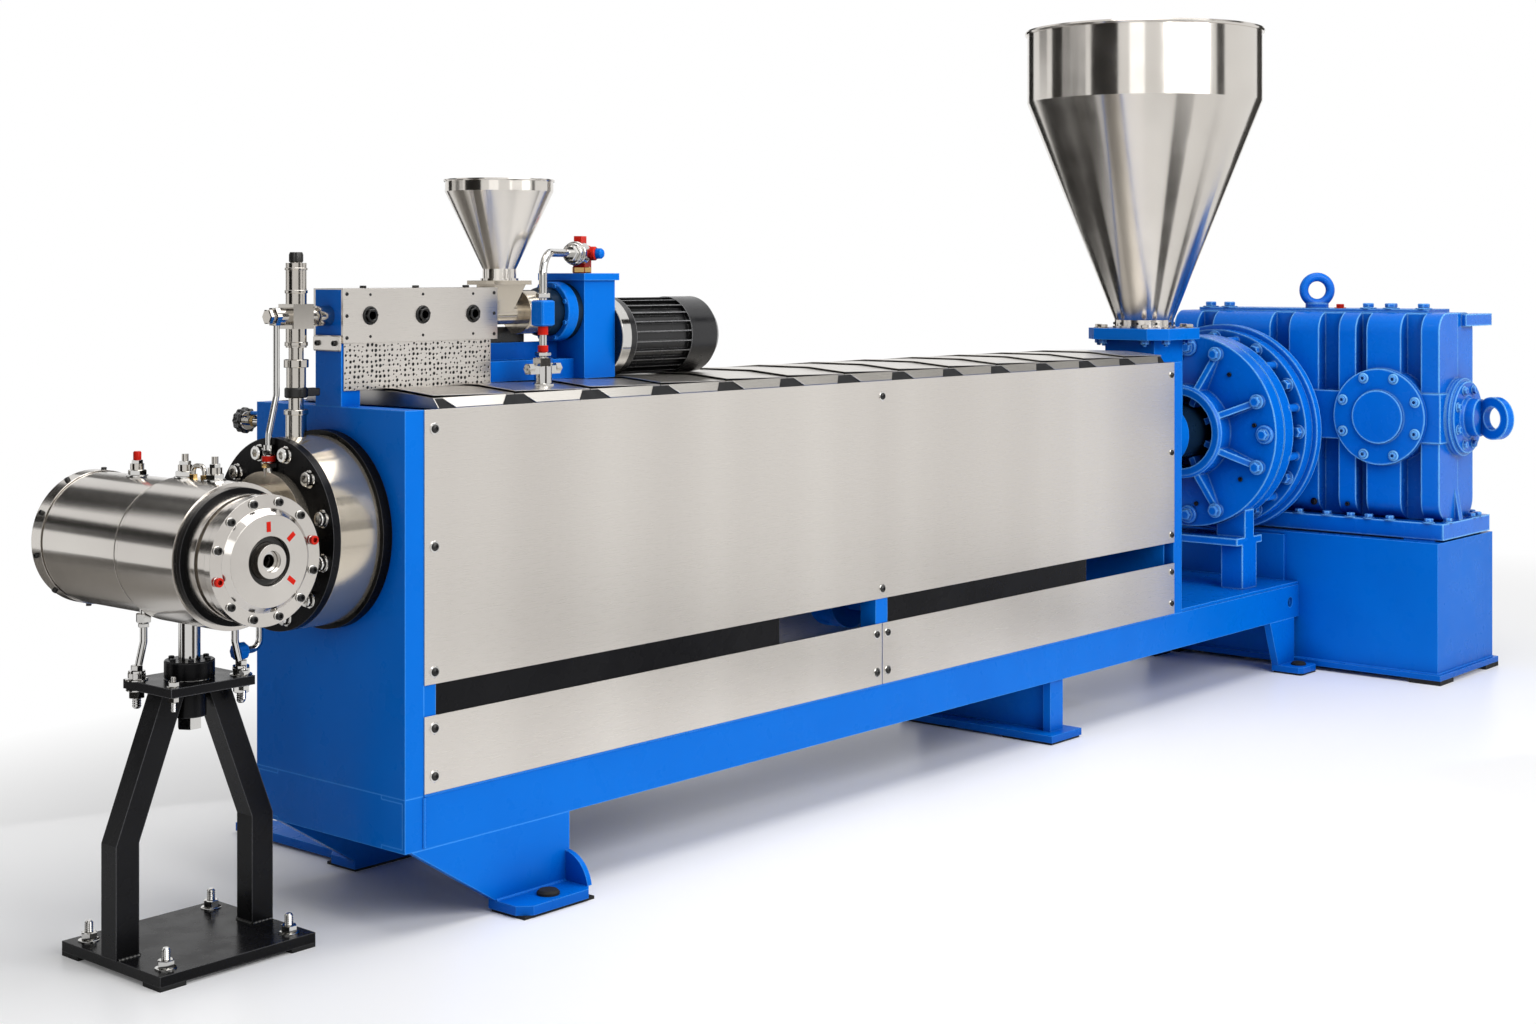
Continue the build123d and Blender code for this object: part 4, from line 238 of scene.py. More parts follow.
# Paints: colours of painted shade in hollows, of darker and lighter patches, and of painted highlights along
# edges
BLUE = (0, 0.055, 0.33), (0, 0.128, 0.57), (0, 0.148, 0.63), (0.05, 0.30, 0.85)
CAST_BLUE = (0, 0.045, 0.30), (0, 0.130, 0.61), (0, 0.152, 0.68), (0.22, 0.60, 1.0)
BLACK = (0.001, 0.001, 0.001), (0.004, 0.004, 0.005), (0.009, 0.009, 0.010), (0.10, 0.10, 0.105)
MOTOR = (0.001, 0.001, 0.001), (0.006, 0.006, 0.007), (0.011, 0.011, 0.012), (0.32, 0.32, 0.325)
RED = (0.20, 0.004, 0.002), (0.48, 0.012, 0.006), (0.60, 0.02, 0.01), (0.75, 0.10, 0.07)
OILED = (0.001, 0.004, 0.01), (0.003, 0.012, 0.03), (0.006, 0.02, 0.045), (0.02, 0.06, 0.12)
# Metals: colours of darker and lighter bands
CHROME = (0.55, 0.54, 0.52), (0.65, 0.64, 0.62)
PLATED = (0.47, 0.44, 0.40), (0.57, 0.54, 0.495)
BRASS = (0.50, 0.32, 0.12), (0.60, 0.40, 0.16)
NITRIDED = (0.20, 0.195, 0.19), (0.28, 0.275, 0.27)
STEEL = (0.54, 0.51, 0.475), (0.64, 0.61, 0.57)
DRUM = (0.47, 0.42, 0.345), (0.58, 0.525, 0.44)
PANEL = (0.605, 0.57, 0.53), (0.69, 0.655, 0.61)
COVER = (0.58, 0.55, 0.51), (0.66, 0.63, 0.585)
# Darker copy of the cover sheet for the covers' sloping wings: painted shade
SHADED_WING = (0.34, 0.325, 0.30), (0.42, 0.40, 0.37)

materials = {
    "machine_blue": enamel("machine_blue_enamel", *BLUE),
    "drive_blue": enamel("drive_blue_enamel", *CAST_BLUE, rough=0.2, specular=0.18, edge=0.012),
    "stainless_sheet": sheet_panel("brushed_stainless", *PANEL),
    "cover_sheet": sheet_panel("cover_stainless", *COVER),
    # The wings' sheet: a darker copy of the cover sheet, painted shade
    "shaded_wing_sheet": sheet_panel("shaded_wing_stainless", *SHADED_WING),
    "hopper_sheet": sheet_steel(),
    "machined_steel": turned_steel("turned_steel", *STEEL, "Y", ROUND_Y),
    "drum_steel": turned_steel("turned_drum_steel", *DRUM, "X", ROUND_X, 0.85),
    "barrel_steel": brushed("nitrided_steel", *NITRIDED, ROUND_X, (0.35, 0.5)).material,
    "jacket_aluminium": cast("cast_aluminium", (0.30, 0.30, 0.295), (0.40, 0.40, 0.39)),
    "black_enamel": enamel("gloss_black_enamel", *BLACK, rough=0.22, edge=0.003),
    "stand_black": enamel("stand_black_enamel", *BLACK, rough=0.2, specular=0.10, edge=0.004),
    "motor_black": enamel("satin_black_enamel", *MOTOR, rough=0.2, specular=0.45, edge=0.003),
    "dark_sleeve": enamel("oiled_dark_steel", *OILED),
    "chrome_pipe": polished("bright_chrome", *CHROME, (0.06, 0.12)).material,
    "brass_fitting": polished("plated_fitting", *PLATED, (0.08, 0.16)).material,
    "brass": polished("bare_brass", *BRASS, (0.15, 0.25)).material,
    "red_valve": enamel("red_enamel", *RED, edge=0.001),
    "pad_rubber": cast("matt_rubber", (0.008, 0.008, 0.008), (0.014, 0.014, 0.014), 0.0, (0.6, 0.8)),
    "black_oxide": cast("blackened_steel", (0.03, 0.03, 0.03), (0.055, 0.054, 0.052), 1.0, (0.3, 0.42)),
}

NODE_FINISH = {"adapter_drum": "drum_steel", "crosshead_neck": "drum_steel", "input_shaft": "drum_steel",
               "coex_barrel": "drum_steel", "melt_column": "brass_fitting",
               # The covers' wings take the shaded copy: painted shade
               "barrel_top_covers": "shaded_wing_sheet"}
for subpart in frame["record"]["subparts"]:
    finish = NODE_FINISH.get(subpart["node"], subpart["material_slot"])
    for material_slot in nodes[subpart["node"]].material_slots:
        material_slot.material = materials[finish]


# Small solids, in millimetres about their own foot, standing along Z
def ring(radius, z, sides):
    step = 2 * math.pi / sides
    return [(radius * math.cos(i * step), radius * math.sin(i * step), z) for i in range(sides)]


def skin(rings, closed=False):
    """Joins rings of equal count by quads; the ends are capped, or joined to each other when closed."""
    sides, count = len(rings[0]), len(rings)
    points = [point for row in rings for point in row]
    faces = []
    for k in range(count if closed else count - 1):
        a, b = k * sides, (k + 1) % count * sides
        faces += [[a + i, a + (i + 1) % sides, b + (i + 1) % sides, b + i] for i in range(sides)]
    if not closed:
        faces.append(list(range(sides))[::-1])
        faces.append(list(range(len(points) - sides, len(points))))
    return points, faces


def joined(*solids):
    points, faces = [], []
    for more_points, more_faces in solids:
        first = len(points)
        points += more_points
        faces += [[first + i for i in face] for face in more_faces]
    return points, faces


def turned(profile, sides=32):
    """A turned solid from (radius, height) points, bottom to top."""
    return skin([ring(r, z, sides) for r, z in profile])


def collar(inner, outer, low, high, edge=1.0, sides=40):
    """A round ring with broken edges, open in the middle."""
    profile = [(inner, low), (outer - edge, low), (outer, low + edge), (outer, high - edge),
               (outer - edge, high), (inner, high)]
    return skin([ring(r, z, sides) for r, z in profile], closed=True)


def hexagon_ring(size, z, sides=24):
    """A hexagon of the given corner radius, sampled with as many points as a round ring."""
    corners = ring(size, z, 6)
    per_side = sides // 6
    points = []
    for i in range(6):
        a, b = Vector(corners[i]), Vector(corners[(i + 1) % 6])
        points += [tuple(a.lerp(b, k / per_side)) for k in range(per_side)]
    return points


def hexagon(r, low, high):
    """A hexagon bar with chamfered corners at both ends."""
    edge = 0.14 * r
    return skin([ring(r - edge, low, 6), ring(r, low + 0.6 * edge, 6), ring(r, high - 0.6 * edge, 6),
                 ring(r - edge, high, 6)])


def open_nut(r, low, high):
    """A hexagon nut with an open bore."""
    edge, bore, sides = 0.12 * r, 0.55 * r, 24
    outside = [hexagon_ring(r, low), hexagon_ring(r, high - edge), hexagon_ring(r - edge, high)]
    inside = [ring(bore + edge, high, sides), ring(bore, high - edge, sides), ring(bore, low + edge, sides)]
    return skin(outside + inside)


def washer(r, thickness):
    return turned([(r, 0), (r, 0.7 * thickness), (0.94 * r, thickness)])


def hex_bolt(r, height=None):
    """A hexagon head on a washer."""
    base = 0.2 * r
    return joined(washer(1.35 * r, base), hexagon(r, base, base + (height or 0.8 * r)))


def socket_screw(r, socket=0.6):
    """A cap screw head with a hexagon socket."""
    height, sides = 0.9 * r, 24
    return skin([ring(r, -0.2 * r, sides), ring(r, 0.86 * height, sides), ring(0.9 * r, height, sides),
                 hexagon_ring(socket * r, height), hexagon_ring(0.95 * socket * r, 0.3 * height)])


def button_screw(r):
    """A domed screw head with a socket."""
    dome = [ring(r * math.cos(t), 0.6 * r * math.sin(t), 24) for t in (0, 0.45, 0.85, 1.0)]
    top = dome[-1][0][2]
    return skin(dome + [hexagon_ring(0.46 * r, top), hexagon_ring(0.44 * r, 0.2 * r)])


def stud(r, length, low=0.0):
    """A threaded end."""
    turns = max(3, round(length / (0.5 * r)))
    pitch = length / turns
    thread = [(0.9 * r, low)]
    for i in range(turns):
        thread += [(r, low + (i + 0.3) * pitch), (0.86 * r, low + (i + 0.8) * pitch)]
    top = low + length
    return turned(thread + [(0.8 * r, top), (0.6 * r, top + 0.2 * r)], 16)


def stud_nut(r, stick_out):
    """A stud with its washer and nut."""
    base = 0.3 * r
    top = base + 1.6 * r
    return joined(washer(2.3 * r, base), hexagon(1.85 * r, base, top), stud(r, stick_out - top, top))


def knob(r, height, lobes):
    """A fluted hand knob."""
    sides, depth = lobes * 6, 0.05
    rings = []
    for share, rise in ((0.8, 0), (1.0, 0.15), (1.0, 0.75), (0.86, 1.0)):
        waves = [1 + depth * math.cos(lobes * 2 * math.pi * i / sides) for i in range(sides)]
        circle = ring(r * share, rise * height, sides)
        rings.append([(wave * x, wave * y, z) for wave, (x, y, z) in zip(waves, circle)])
    return skin(rings)


def slab(width, depth, height, edge=1.5):
    """A plate with broken edges, centred over its foot."""
    def outline(inset, z):
        w, d = width / 2 - inset, depth / 2 - inset
        return [(w - edge, -d, z), (w, -d + edge, z), (w, d - edge, z), (w - edge, d, z),
                (-w + edge, d, z), (-w, d - edge, z), (-w, -d + edge, z), (-w + edge, -d, z)]
    return skin([outline(edge, 0), outline(0, edge), outline(0, height - edge), outline(edge, height)])


def bead(start, end, radius):
    """A rippled weld bead along a straight line in machine millimetres."""
    a, b = Vector(start), Vector(end)
    count = max(4, int((b - a).length / (0.7 * radius)))
    along = (b - a).normalized()
    side = along.orthogonal().normalized()
    other = along.cross(side)
    ripple, ripple_step, sides = 0.16, 2.1, 8
    rings = []
    for i in range(count + 1):
        size = radius * (1 + ripple * math.sin(i * ripple_step))
        centre = a.lerp(b, i / count)
        rings.append([tuple(centre + x * side + y * other) for x, y, _ in ring(size, 0, sides)])
    return skin(rings)


def perforated(width, height, thickness, columns, rows):
    """A punched sheet with uneven holes, one to a cell, standing in X and Y about its middle."""
    pick = random.Random(7)
    cell = Vector((width / columns, height / rows))
    half = Vector((width / 2, height / 2))
    smallest, largest, room, sides = 0.15, 0.37, 0.47, 8
    rim = [(1, 0), (1, 1), (0, 1), (-1, 1), (-1, 0), (-1, -1), (0, -1), (1, -1)]
    points, faces, known = [], [], {}

    def corner(place, z):
        key = (round(place.x, 3), round(place.y, 3), z)
        if key not in known:
            known[key] = len(points)
            points.append((place.x, place.y, z))
        return known[key]

    def on_border(a, b):
        return any(abs(abs(a[n]) - half[n]) < 0.01 and abs(abs(b[n]) - half[n]) < 0.01 for n in (0, 1))

    for i in range(columns):
        for j in range(rows):
            middle = Vector(((i + 0.5) * cell.x, (j + 0.5) * cell.y)) - half
            share = pick.uniform(smallest, largest)
            slack = room - share
            shift = Vector((pick.uniform(-slack, slack) * cell.x, pick.uniform(-slack, slack) * cell.y))
            hole = [middle + shift + Vector(p[:2]) for p in ring(share * min(cell), 0, sides)]
            outer = [middle + Vector((u * cell.x / 2, v * cell.y / 2)) for u, v in rim]
            loops = [[corner(p, z) for p in loop] for loop, z in ((outer, thickness), (hole, thickness),
                                                                  (hole, 0), (outer, 0))]
            for k in range(sides):
                after = (k + 1) % sides
                faces += [[a[k], a[after], b[after], b[k]] for a, b in zip(loops, loops[1:])]
                if on_border(outer[k], outer[after]):
                    faces.append([loops[0][k], loops[3][k], loops[3][after], loops[0][after]])
    return points, faces


# Solids are gathered into piles, and each pile makes one piece
SHARP_ANGLE = math.radians(34)
SLOT_OF = {"black_oxide": "barrel_steel", "brass": "brass_fitting", "cover_sheet": "stainless_sheet",
           "drum_steel": "machined_steel"}
piles = []


def placed(name, data):
    """A new object in the scene."""
    made = bpy.data.objects.new(name, data)
    bpy.context.scene.collection.objects.link(made)
    return made


class Pile:
    """Many small solids that make one piece, with its finish, its material slot, which is not used, and the
    node it replaces.
    """

    def __init__(self, name, finish, slot=None, replaced=None):
        self.name, self.finish, self.replaced = name, finish, replaced
        self.slot = slot or SLOT_OF.get(finish, finish)
        self.points, self.faces = [], []
        piles.append(self)

    def add(self, solid, place=MACHINE):
        points, faces = solid
        first = len(self.points)
        self.points += [place @ Vector(p) for p in points]
        self.faces += [[first + i for i in face] for face in faces]

    def on(self, solid, x, y, z, normal, roll=0.0):
        """Stands a solid on a point in machine millimetres, along a normal."""
        self.add(solid, facing(x, y, z, normal, roll))

    def circle(self, solid, x, y, z, normal, radius, count, shift=0.0, skip=()):
        """Sets a solid at even steps round a circle, each turned a little further than the last."""
        place, turn = facing(x, y, z, normal), 0.37
        for i in range(count):
            if i not in skip:
                angle = (i + shift) * 2 * math.pi / count
                step = Matrix.Translation((radius * math.cos(angle), radius * math.sin(angle), 0))
                self.add(solid, place @ step @ Matrix.Rotation(turn * i, 4, "Z"))

    def spokes(self, solid, centre, first, second, radius, count, shift):
        """Stands a solid outwards at even steps round a circle, which two axes span."""
        for i in range(count):
            angle = (i + shift) * 2 * math.pi / count
            out = math.cos(angle) * Vector(first) + math.sin(angle) * Vector(second)
            self.on(solid, *(Vector(centre) + radius * out), out)

    def piece(self):
        """Makes the piece, sets it under the root body and hides the node it replaces."""
        mesh = bpy.data.meshes.new(self.name)
        mesh.from_pydata(self.points, [], self.faces)
        mesh.validate()
        for polygon in mesh.polygons:
            polygon.use_smooth = True
        mesh.set_sharp_from_angle(angle=SHARP_ANGLE)
        mesh.materials.append(materials[self.finish])
        made = placed(self.name, mesh)
        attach(made, "root")
        if self.replaced:
            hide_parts(self.replaced)


def facing(x, y, z, normal, roll=0.0):
    """A place at a point in machine millimetres: local Z along the normal, local Y upwards if it can be."""
    out = Vector(normal).normalized()
    side = Vector((1, 0, 0)) if abs(out.z) > 0.99 else Vector((0, 0, 1)).cross(out).normalized()
    turn = Matrix((side, out.cross(side), out)).transposed().to_4x4()
    return Matrix.Translation(mm(x, y, z)) @ turn @ Matrix.Rotation(roll, 4, "Z") @ TO_METRES


# Radius of a fastener's head by its thread
M5, M6, M8, M10, M12, M16, M20, M24 = 4, 5, 7, 9, 11, 15, 18, 22
UP, DOWN = (0, 0, 1), (0, 0, -1)
FRONT, BACK = (-1, 0, 0), (1, 0, 0)
NEAR, FAR = (0, -1, 0), (0, 1, 0)
SIDES = (-1, 1)
CORNERS = [(side_x, side_y) for side_x in SIDES for side_y in SIDES]

AXIS = span("adapter_drum")[2].z
COEX_AXIS = span("coex_barrel_cover")[2].z
FRAME_MIDDLE = (MACHINE.inverted() @ Vector()).x
JACK = span("stand_jack")[2]
FOOT_PLATE, BASE_PLATE, TABLE_PLATE = 24, 25, 22
FOOT_TOP = span("frame_feet")[0].z + FOOT_PLATE
BASE_TOP = span("stand_frame")[0].z + BASE_PLATE
TABLE_TOP = span("stand_frame")[1].z
TABLE_BOTTOM = TABLE_TOP - TABLE_PLATE
# Clearance of a ring that slips over a pipe
SLIP = 0.2
# Shift that sets the first place of a circle halfway to the next
HALF_STEP = 0.5


def anchor_reach(mount_name):
    """Half the spacing of a bolt pattern's anchors, along X and along Y."""
    dims = next(mount["dims"] for mount in frame["record"]["mounts"] if mount["name"] == mount_name)
    return dims["spacing_x_mm"] / 2, dims["spacing_y_mm"] / 2


# Cladding
def panel_screws():
    """Dark socket screws on bright washers along the ends and the middle joint of the side panels."""
    washers = Pile("panel_washers", "chrome_pipe")
    heads = Pile("panel_screws", "black_oxide")
    upper_low, upper_high, upper = span("upper_side_panels")
    lower_low, lower_high, lower = span("lower_side_panels")
    washer_height = 2.4
    left, right = upper_low.x + 32, upper_high.x - 22
    bottom, top = upper_low.z + 30, upper_high.z - 48
    lower_bottom, lower_top = lower_low.z + 40, lower_high.z - 32
    joint, joint_half = lower.x + 20, 28
    places = [(x, z) for x in (left, right) for z in (bottom, upper.z, top)]
    places += [(joint, bottom), (joint, top)]
    for x in (left, joint - joint_half, joint + joint_half, right):
        places += [(x, lower_bottom), (x, lower_top)]
    for x, z in places:
        for side in SIDES:
            face = side * upper_high.y
            washers.on(washer(M16, washer_height), x, face, z, (0, side, 0))
            heads.on(button_screw(M12), x, face + side * washer_height, z, (0, side, 0), x + z)


def lapped_covers():
    """A thin lapped sheet on each cover, and black strips behind the notches of the covers' edges: painted
    shade in the notches.
    """
    low, high, middle = span("barrel_top_covers")
    count, gap, lift, touch, sheet = 13, 4, 6, 0.3, 1.5
    crest_half, knee_half, knee = 105, 248, high.z - 12
    pitch = (high.x - low.x + gap) / count
    section = [(-knee_half, knee), (-crest_half, high.z), (crest_half, high.z), (knee_half, knee)]

    def outline(x, rise):
        under = [(x, y, z + rise) for y, z in section]
        return under + [(x, y, z + rise + sheet) for y, z in section[::-1]]

    plates = Pile("lapped_covers", "cover_sheet")
    notch_shade_strips = Pile("cover_notch_shade_strips", "pad_rubber")
    for i in range(count):
        start = low.x + i * pitch
        plates.add(skin([outline(start, lift), outline(start + pitch - gap, touch)]))

    # Black strips under the wings' notches: painted shade that keeps the notches dark
    wing = Vector((0, high.y - knee_half, knee - low.z))
    depth, overlap, thickness = 5, 4, 3
    for side in SIDES:
        normal = Vector((0, side * wing.z, wing.y)).normalized()
        foot = Vector((middle.x, side * (high.y + knee_half) / 2, (low.z + knee) / 2)) - depth * normal
        notch_shade_strips.on(slab(high.x - low.x - 2 * gap, wing.length + overlap, thickness, 1), *foot, normal)


def slot_back():
    """A dust plate across the rear of the frame below the barrel, seen through the slot."""
    slot_high = span("slot_shields")[1]
    clearance, setback, thickness = 5, 44, 4
    top = span("heater_jackets")[0].z - clearance
    foot = span("frame_posts")[0].z
    width = 2 * (slot_high.y - 3 * clearance)
    plate = Pile("rear_dust_plate", "machine_blue")
    plate.on(slab(width, top - foot, thickness), slot_high.x - setback, 0, (top + foot) / 2, FRONT)


# Crosshead and drum
def drum_bolts():
    """Cap screws round the front of the black flange."""
    low, high, middle = span("adapter_flange")
    inset, count, washer_height = 33, 12, 3
    screw = joined(washer(M24, washer_height), socket_screw(M20))
    screws = Pile("drum_bolts", "chrome_pipe")
    screws.circle(screw, low.x, 0, middle.z, FRONT, high.y - inset, count, HALF_STEP)


def die_fasteners():
    """Screws in the die's flange, two of them red, red marks on its face, a black ring in its recess that
    paints the shade there, and a bright ring in its bore.
    """
    low, high, middle = span("die_face")
    x, z = middle.x, middle.z
    tube_length, cone_length, recess_depth, bore_depth, sink = 10, 14, 16, 22, 1
    boss = low.y + tube_length
    flange = boss + cone_length
    circle, count, red_places = high.x - x - 16, 12, (0, 6)
    mark, mark_circle, mark_sink, mark_angles = slab(24, 12, 1.2, 0.3), 80, 0.6, (1.6, 0.7, 5.6)
    recess_shade_ring, bore_ring = collar(44.6, 57.6, 0, 3), collar(16, 24.6, 0, 8)
    washers = Pile("die_washers", "chrome_pipe")
    screws = Pile("die_screws", "black_oxide")
    red = Pile("painted_die_screws", "red_valve")
    washers.circle(washer(M12, 2), x, flange, z, NEAR, circle, count, HALF_STEP)
    screws.circle(socket_screw(M10), x, flange - sink, z, NEAR, circle, count, HALF_STEP, red_places)
    unmarked = [i for i in range(count) if i not in red_places]
    red.circle(socket_screw(M12), x, flange - sink, z, NEAR, circle, count, HALF_STEP, unmarked)
    for angle in mark_angles:
        mark_x, mark_z = x + mark_circle * math.cos(angle), z + mark_circle * math.sin(angle)
        red.on(mark, mark_x, boss + mark_sink, mark_z, NEAR, angle)
    # Black ring at the floor of the recess: painted shade
    screws.on(recess_shade_ring, x, boss + recess_depth, z, NEAR)
    washers.on(bore_ring, x, low.y + bore_depth, z, NEAR)


def tail_screws():
    """Set screws round the crosshead's tail flange and cap screws in its end."""
    _, high, middle = span("crosshead_body")
    flange_radius, flange_y, end_circle, count, shift = 169, high.y - 21, 140, 10, 0.3
    dark = Pile("tail_set_screws", "black_oxide")
    bright = Pile("tail_end_screws", "chrome_pipe")
    centre = (middle.x, flange_y, middle.z)
    dark.spokes(socket_screw(M8), centre, BACK, UP, flange_radius, count, shift)
    bright.circle(socket_screw(M12), middle.x, high.y, middle.z, FAR, end_circle, count)


def crosshead_nuts():
    """Nuts on the fittings and at the feet of the lead and the bypass, and a red plug on a fitting."""
    fitting_low, fitting_high, fitting = span("crosshead_fittings")
    body_top = span("crosshead_body")[1].z
    tail_top, boss_height, boss_radius, plug_rise, sink = body_top - 9, 30, 17, 37, 1
    first, second, third = fitting_high.y - boss_radius, 58, fitting_low.y + boss_radius
    foot_nut, boss_nut = joined(washer(27, 3), hexagon(23, 2, 16)), hexagon(14, 0, 10)
    lead_nut, lead_ends = hexagon(M12, -2, 9), (24, -22)
    plug = turned([(10, 0), (10, 20), (8, 23), (5, 23)])
    nuts = Pile("fitting_nuts", "chrome_pipe")
    red = Pile("fitting_plugs", "red_valve")
    brass = Pile("sensor_nuts", "brass")
    for y, top in ((first, tail_top), (second, body_top), (third, body_top)):
        nuts.on(foot_nut, fitting.x, y, top - sink, UP, y)
        nuts.on(boss_nut, fitting.x, y, top + boss_height - sink, UP, y)
    red.on(plug, fitting.x, first, tail_top + plug_rise, UP)
    for y in lead_ends:
        brass.on(lead_nut, fitting.x, y, body_top, UP, y)
    pipe_low = span("bypass_pipe")[0]
    sleeve_radius, cuff_radius = 13, 17
    bypass_nuts = joined(hexagon(21, 8, 22), hexagon(17, 40, 54))
    cuff = collar(sleeve_radius + SLIP, cuff_radius, 24, 38)
    bypass_foot = (pipe_low.x + sleeve_radius, 0, pipe_low.z + sleeve_radius)
    nuts.on(bypass_nuts, *bypass_foot, UP)
    red.on(cuff, *bypass_foot, UP)


# Stand
def stand_bolts():
    """Floor anchors of the stand, the bolts of its table and the black collar of its jack."""
    anchor_x, anchor_y = anchor_reach("stand_anchors")
    bolt_x, bolt_y = 98, 80
    anchor_height, bolt_height, bolt_drop = 46, 24, 36
    bright = Pile("stand_bolts", "chrome_pipe")
    black = Pile("jack_collar", "stand_black")
    for side_x, side_y in CORNERS:
        x, y = JACK.x + side_x * anchor_x, JACK.y + side_y * anchor_y
        bright.on(stud_nut(M12, anchor_height), x, y, BASE_TOP, UP, side_x)
        x, y = JACK.x + side_x * bolt_x, JACK.y + side_y * bolt_y
        bright.on(stud_nut(M8, bolt_height), x, y, TABLE_TOP, UP, side_y)
        bright.on(stud_nut(M8, bolt_drop), x, y, TABLE_BOTTOM, DOWN, side_y)
    rod_radius, radius, height, seam, edge = 26.5, 60, 44, 0.3, 2.5
    screw_circle, screw_count, collar_top = radius - 13, 6, TABLE_TOP + height
    black.on(collar(rod_radius, radius, seam, height, edge), JACK.x, JACK.y, TABLE_TOP, UP)
    black.circle(socket_screw(M8), JACK.x, JACK.y, collar_top, UP, screw_circle, screw_count)


def drain_nuts():
    """Unions at both ends of the drain pipes and the nuts that hold them below the table."""
    low, high, middle = span("drain_pipes")
    foot_radius, pipe_half, foot_half, stud_drop = 20, 84, 66, 44
    foot_union = joined(washer(27, 3), hexagon(23, 3, 19), hexagon(15, 22, 36))
    top_union = joined(hexagon(14, -46, -36), hexagon(19, -34, -12))
    nuts = Pile("drain_nuts", "chrome_pipe")
    for side, foot_x in ((-1, low.x + foot_radius), (1, high.x - foot_radius)):
        pipe_x, y = JACK.x + side * pipe_half, middle.y - side * foot_half
        nuts.on(foot_union, foot_x, y, TABLE_TOP, UP, side)
        nuts.on(top_union, pipe_x, y, high.z, UP, side)
        nuts.on(stud_nut(M12, stud_drop), foot_x, y, TABLE_BOTTOM, DOWN, side)


def stand_welds():
    """Weld beads round the feet of the stand's legs."""
    leg_spread, half, size = 190, 31, 5
    near, far = JACK.y - half, JACK.y + half
    welds = Pile("stand_welds", "black_oxide", "stand_black")
    for side in SIDES:
        inner, outer = JACK.x + side * (leg_spread - half), JACK.x + side * (leg_spread + half - size)
        route = [(outer, near), (inner, near), (inner, far), (outer, far)]
        for start, end in zip(route, route[1:]):
            welds.add(bead((*start, BASE_TOP), (*end, BASE_TOP), size))


def tap_knobs():
    """The blue knob under the drum, and the black knob, brass nuts and blue lever at the end plate."""
    low, high, _ = span("water_taps")
    _, plate_high, plate = span("front_end_plate")
    tap_x, tap_y, tap_radius, plate_tap_radius = low.x + 32, 70, 17, 30
    tap_knob, plate_knob = knob(tap_radius + 4, 34, 8), knob(plate_tap_radius + 3, 30, 12)
    plate_nuts, lever = joined(hexagon(19, 0, 18), hexagon(16, 44, 58)), slab(16, 62, 9, 2)
    plate_knob_y, lever_y, lever_rise = high.y - 32, plate_high.y + 30, 17
    z = high.z - plate_tap_radius
    blue = Pile("tap_knob_and_lever", "machine_blue")
    black = Pile("plate_tap_knob", "motor_black")
    brass = Pile("plate_tap_nuts", "brass")
    blue.on(tap_knob, tap_x, tap_y, low.z + tap_radius, FRONT)
    black.on(plate_knob, plate.x, plate_knob_y, z, FAR)
    brass.on(plate_nuts, plate.x, plate_high.y, z, FAR)
    blue.on(lever, plate.x, lever_y, z + lever_rise, UP)


# Melt column and co-extruder
def melt_column_details():
    """Rings, unions, the black clamp and the black head of the upright melt pipe."""
    low, high, _ = span("melt_column")
    x = span("adapter_drum")[0].x + 48
    bore, clamp_bore, clamp_radius = 24, 18, 29
    clamp_z, clamp_height, clamp_edge, arm_offset = low.z + 122, 26, 3, 42
    head_radius, head_height, head_lobes, head_proud = 17, 27, 12, 1
    # Rise above the column's foot, outer radius and height of each ring
    rings = ((80, 30, 12), (198, 31, 20), (252, 29, 10), (384, 28.5, 8), (442, 28.5, 6))
    bright = Pile("melt_column_unions", "brass_fitting")
    black = Pile("melt_column_head", "black_oxide", "motor_black")
    for rise, radius, height in rings:
        bright.on(collar(bore, radius, 0, height), x, 0, low.z + rise, UP)
    head = knob(head_radius, head_height, head_lobes)
    black.on(head, x, 0, high.z - head_height + head_proud, UP)
    black.on(collar(clamp_bore, clamp_radius, 0, clamp_height, clamp_edge), x, 0, clamp_z, UP)
    arm = slab(44, 30, clamp_height - 2 * clamp_edge, 2)
    black.on(arm, x + arm_offset, 0, clamp_z + clamp_edge, UP)
    front_unions = joined(hexagon(20, -8, 4), hexagon(25, -30, -12))
    back_unions = joined(hexagon(27, -44, -24), hexagon(23, -20, -6))
    bright.on(front_unions, low.x, 0, COEX_AXIS, FRONT)
    bright.on(back_unions, high.x, 0, COEX_AXIS, BACK)


def outlet_bracket():
    """The steel strip screwed across the front of the co-extruder's post, below the outlet."""
    z = span("coex_barrel_cover")[0].z
    post_low, post_high, _ = span("coex_post")
    thickness, height, overhang, edge, screw_half = 7, 40, 4, 3, 34
    width = post_high.y - post_low.y + 2 * overhang
    plate = Pile("outlet_bracket", "stainless_sheet")
    screws = Pile("outlet_bracket_screws", "black_oxide")
    plate.on(slab(width, height, thickness, edge), post_low.x, 0, z, FRONT)
    for side in SIDES:
        screws.on(socket_screw(M8), post_low.x - thickness, side * screw_half, z, FRONT)


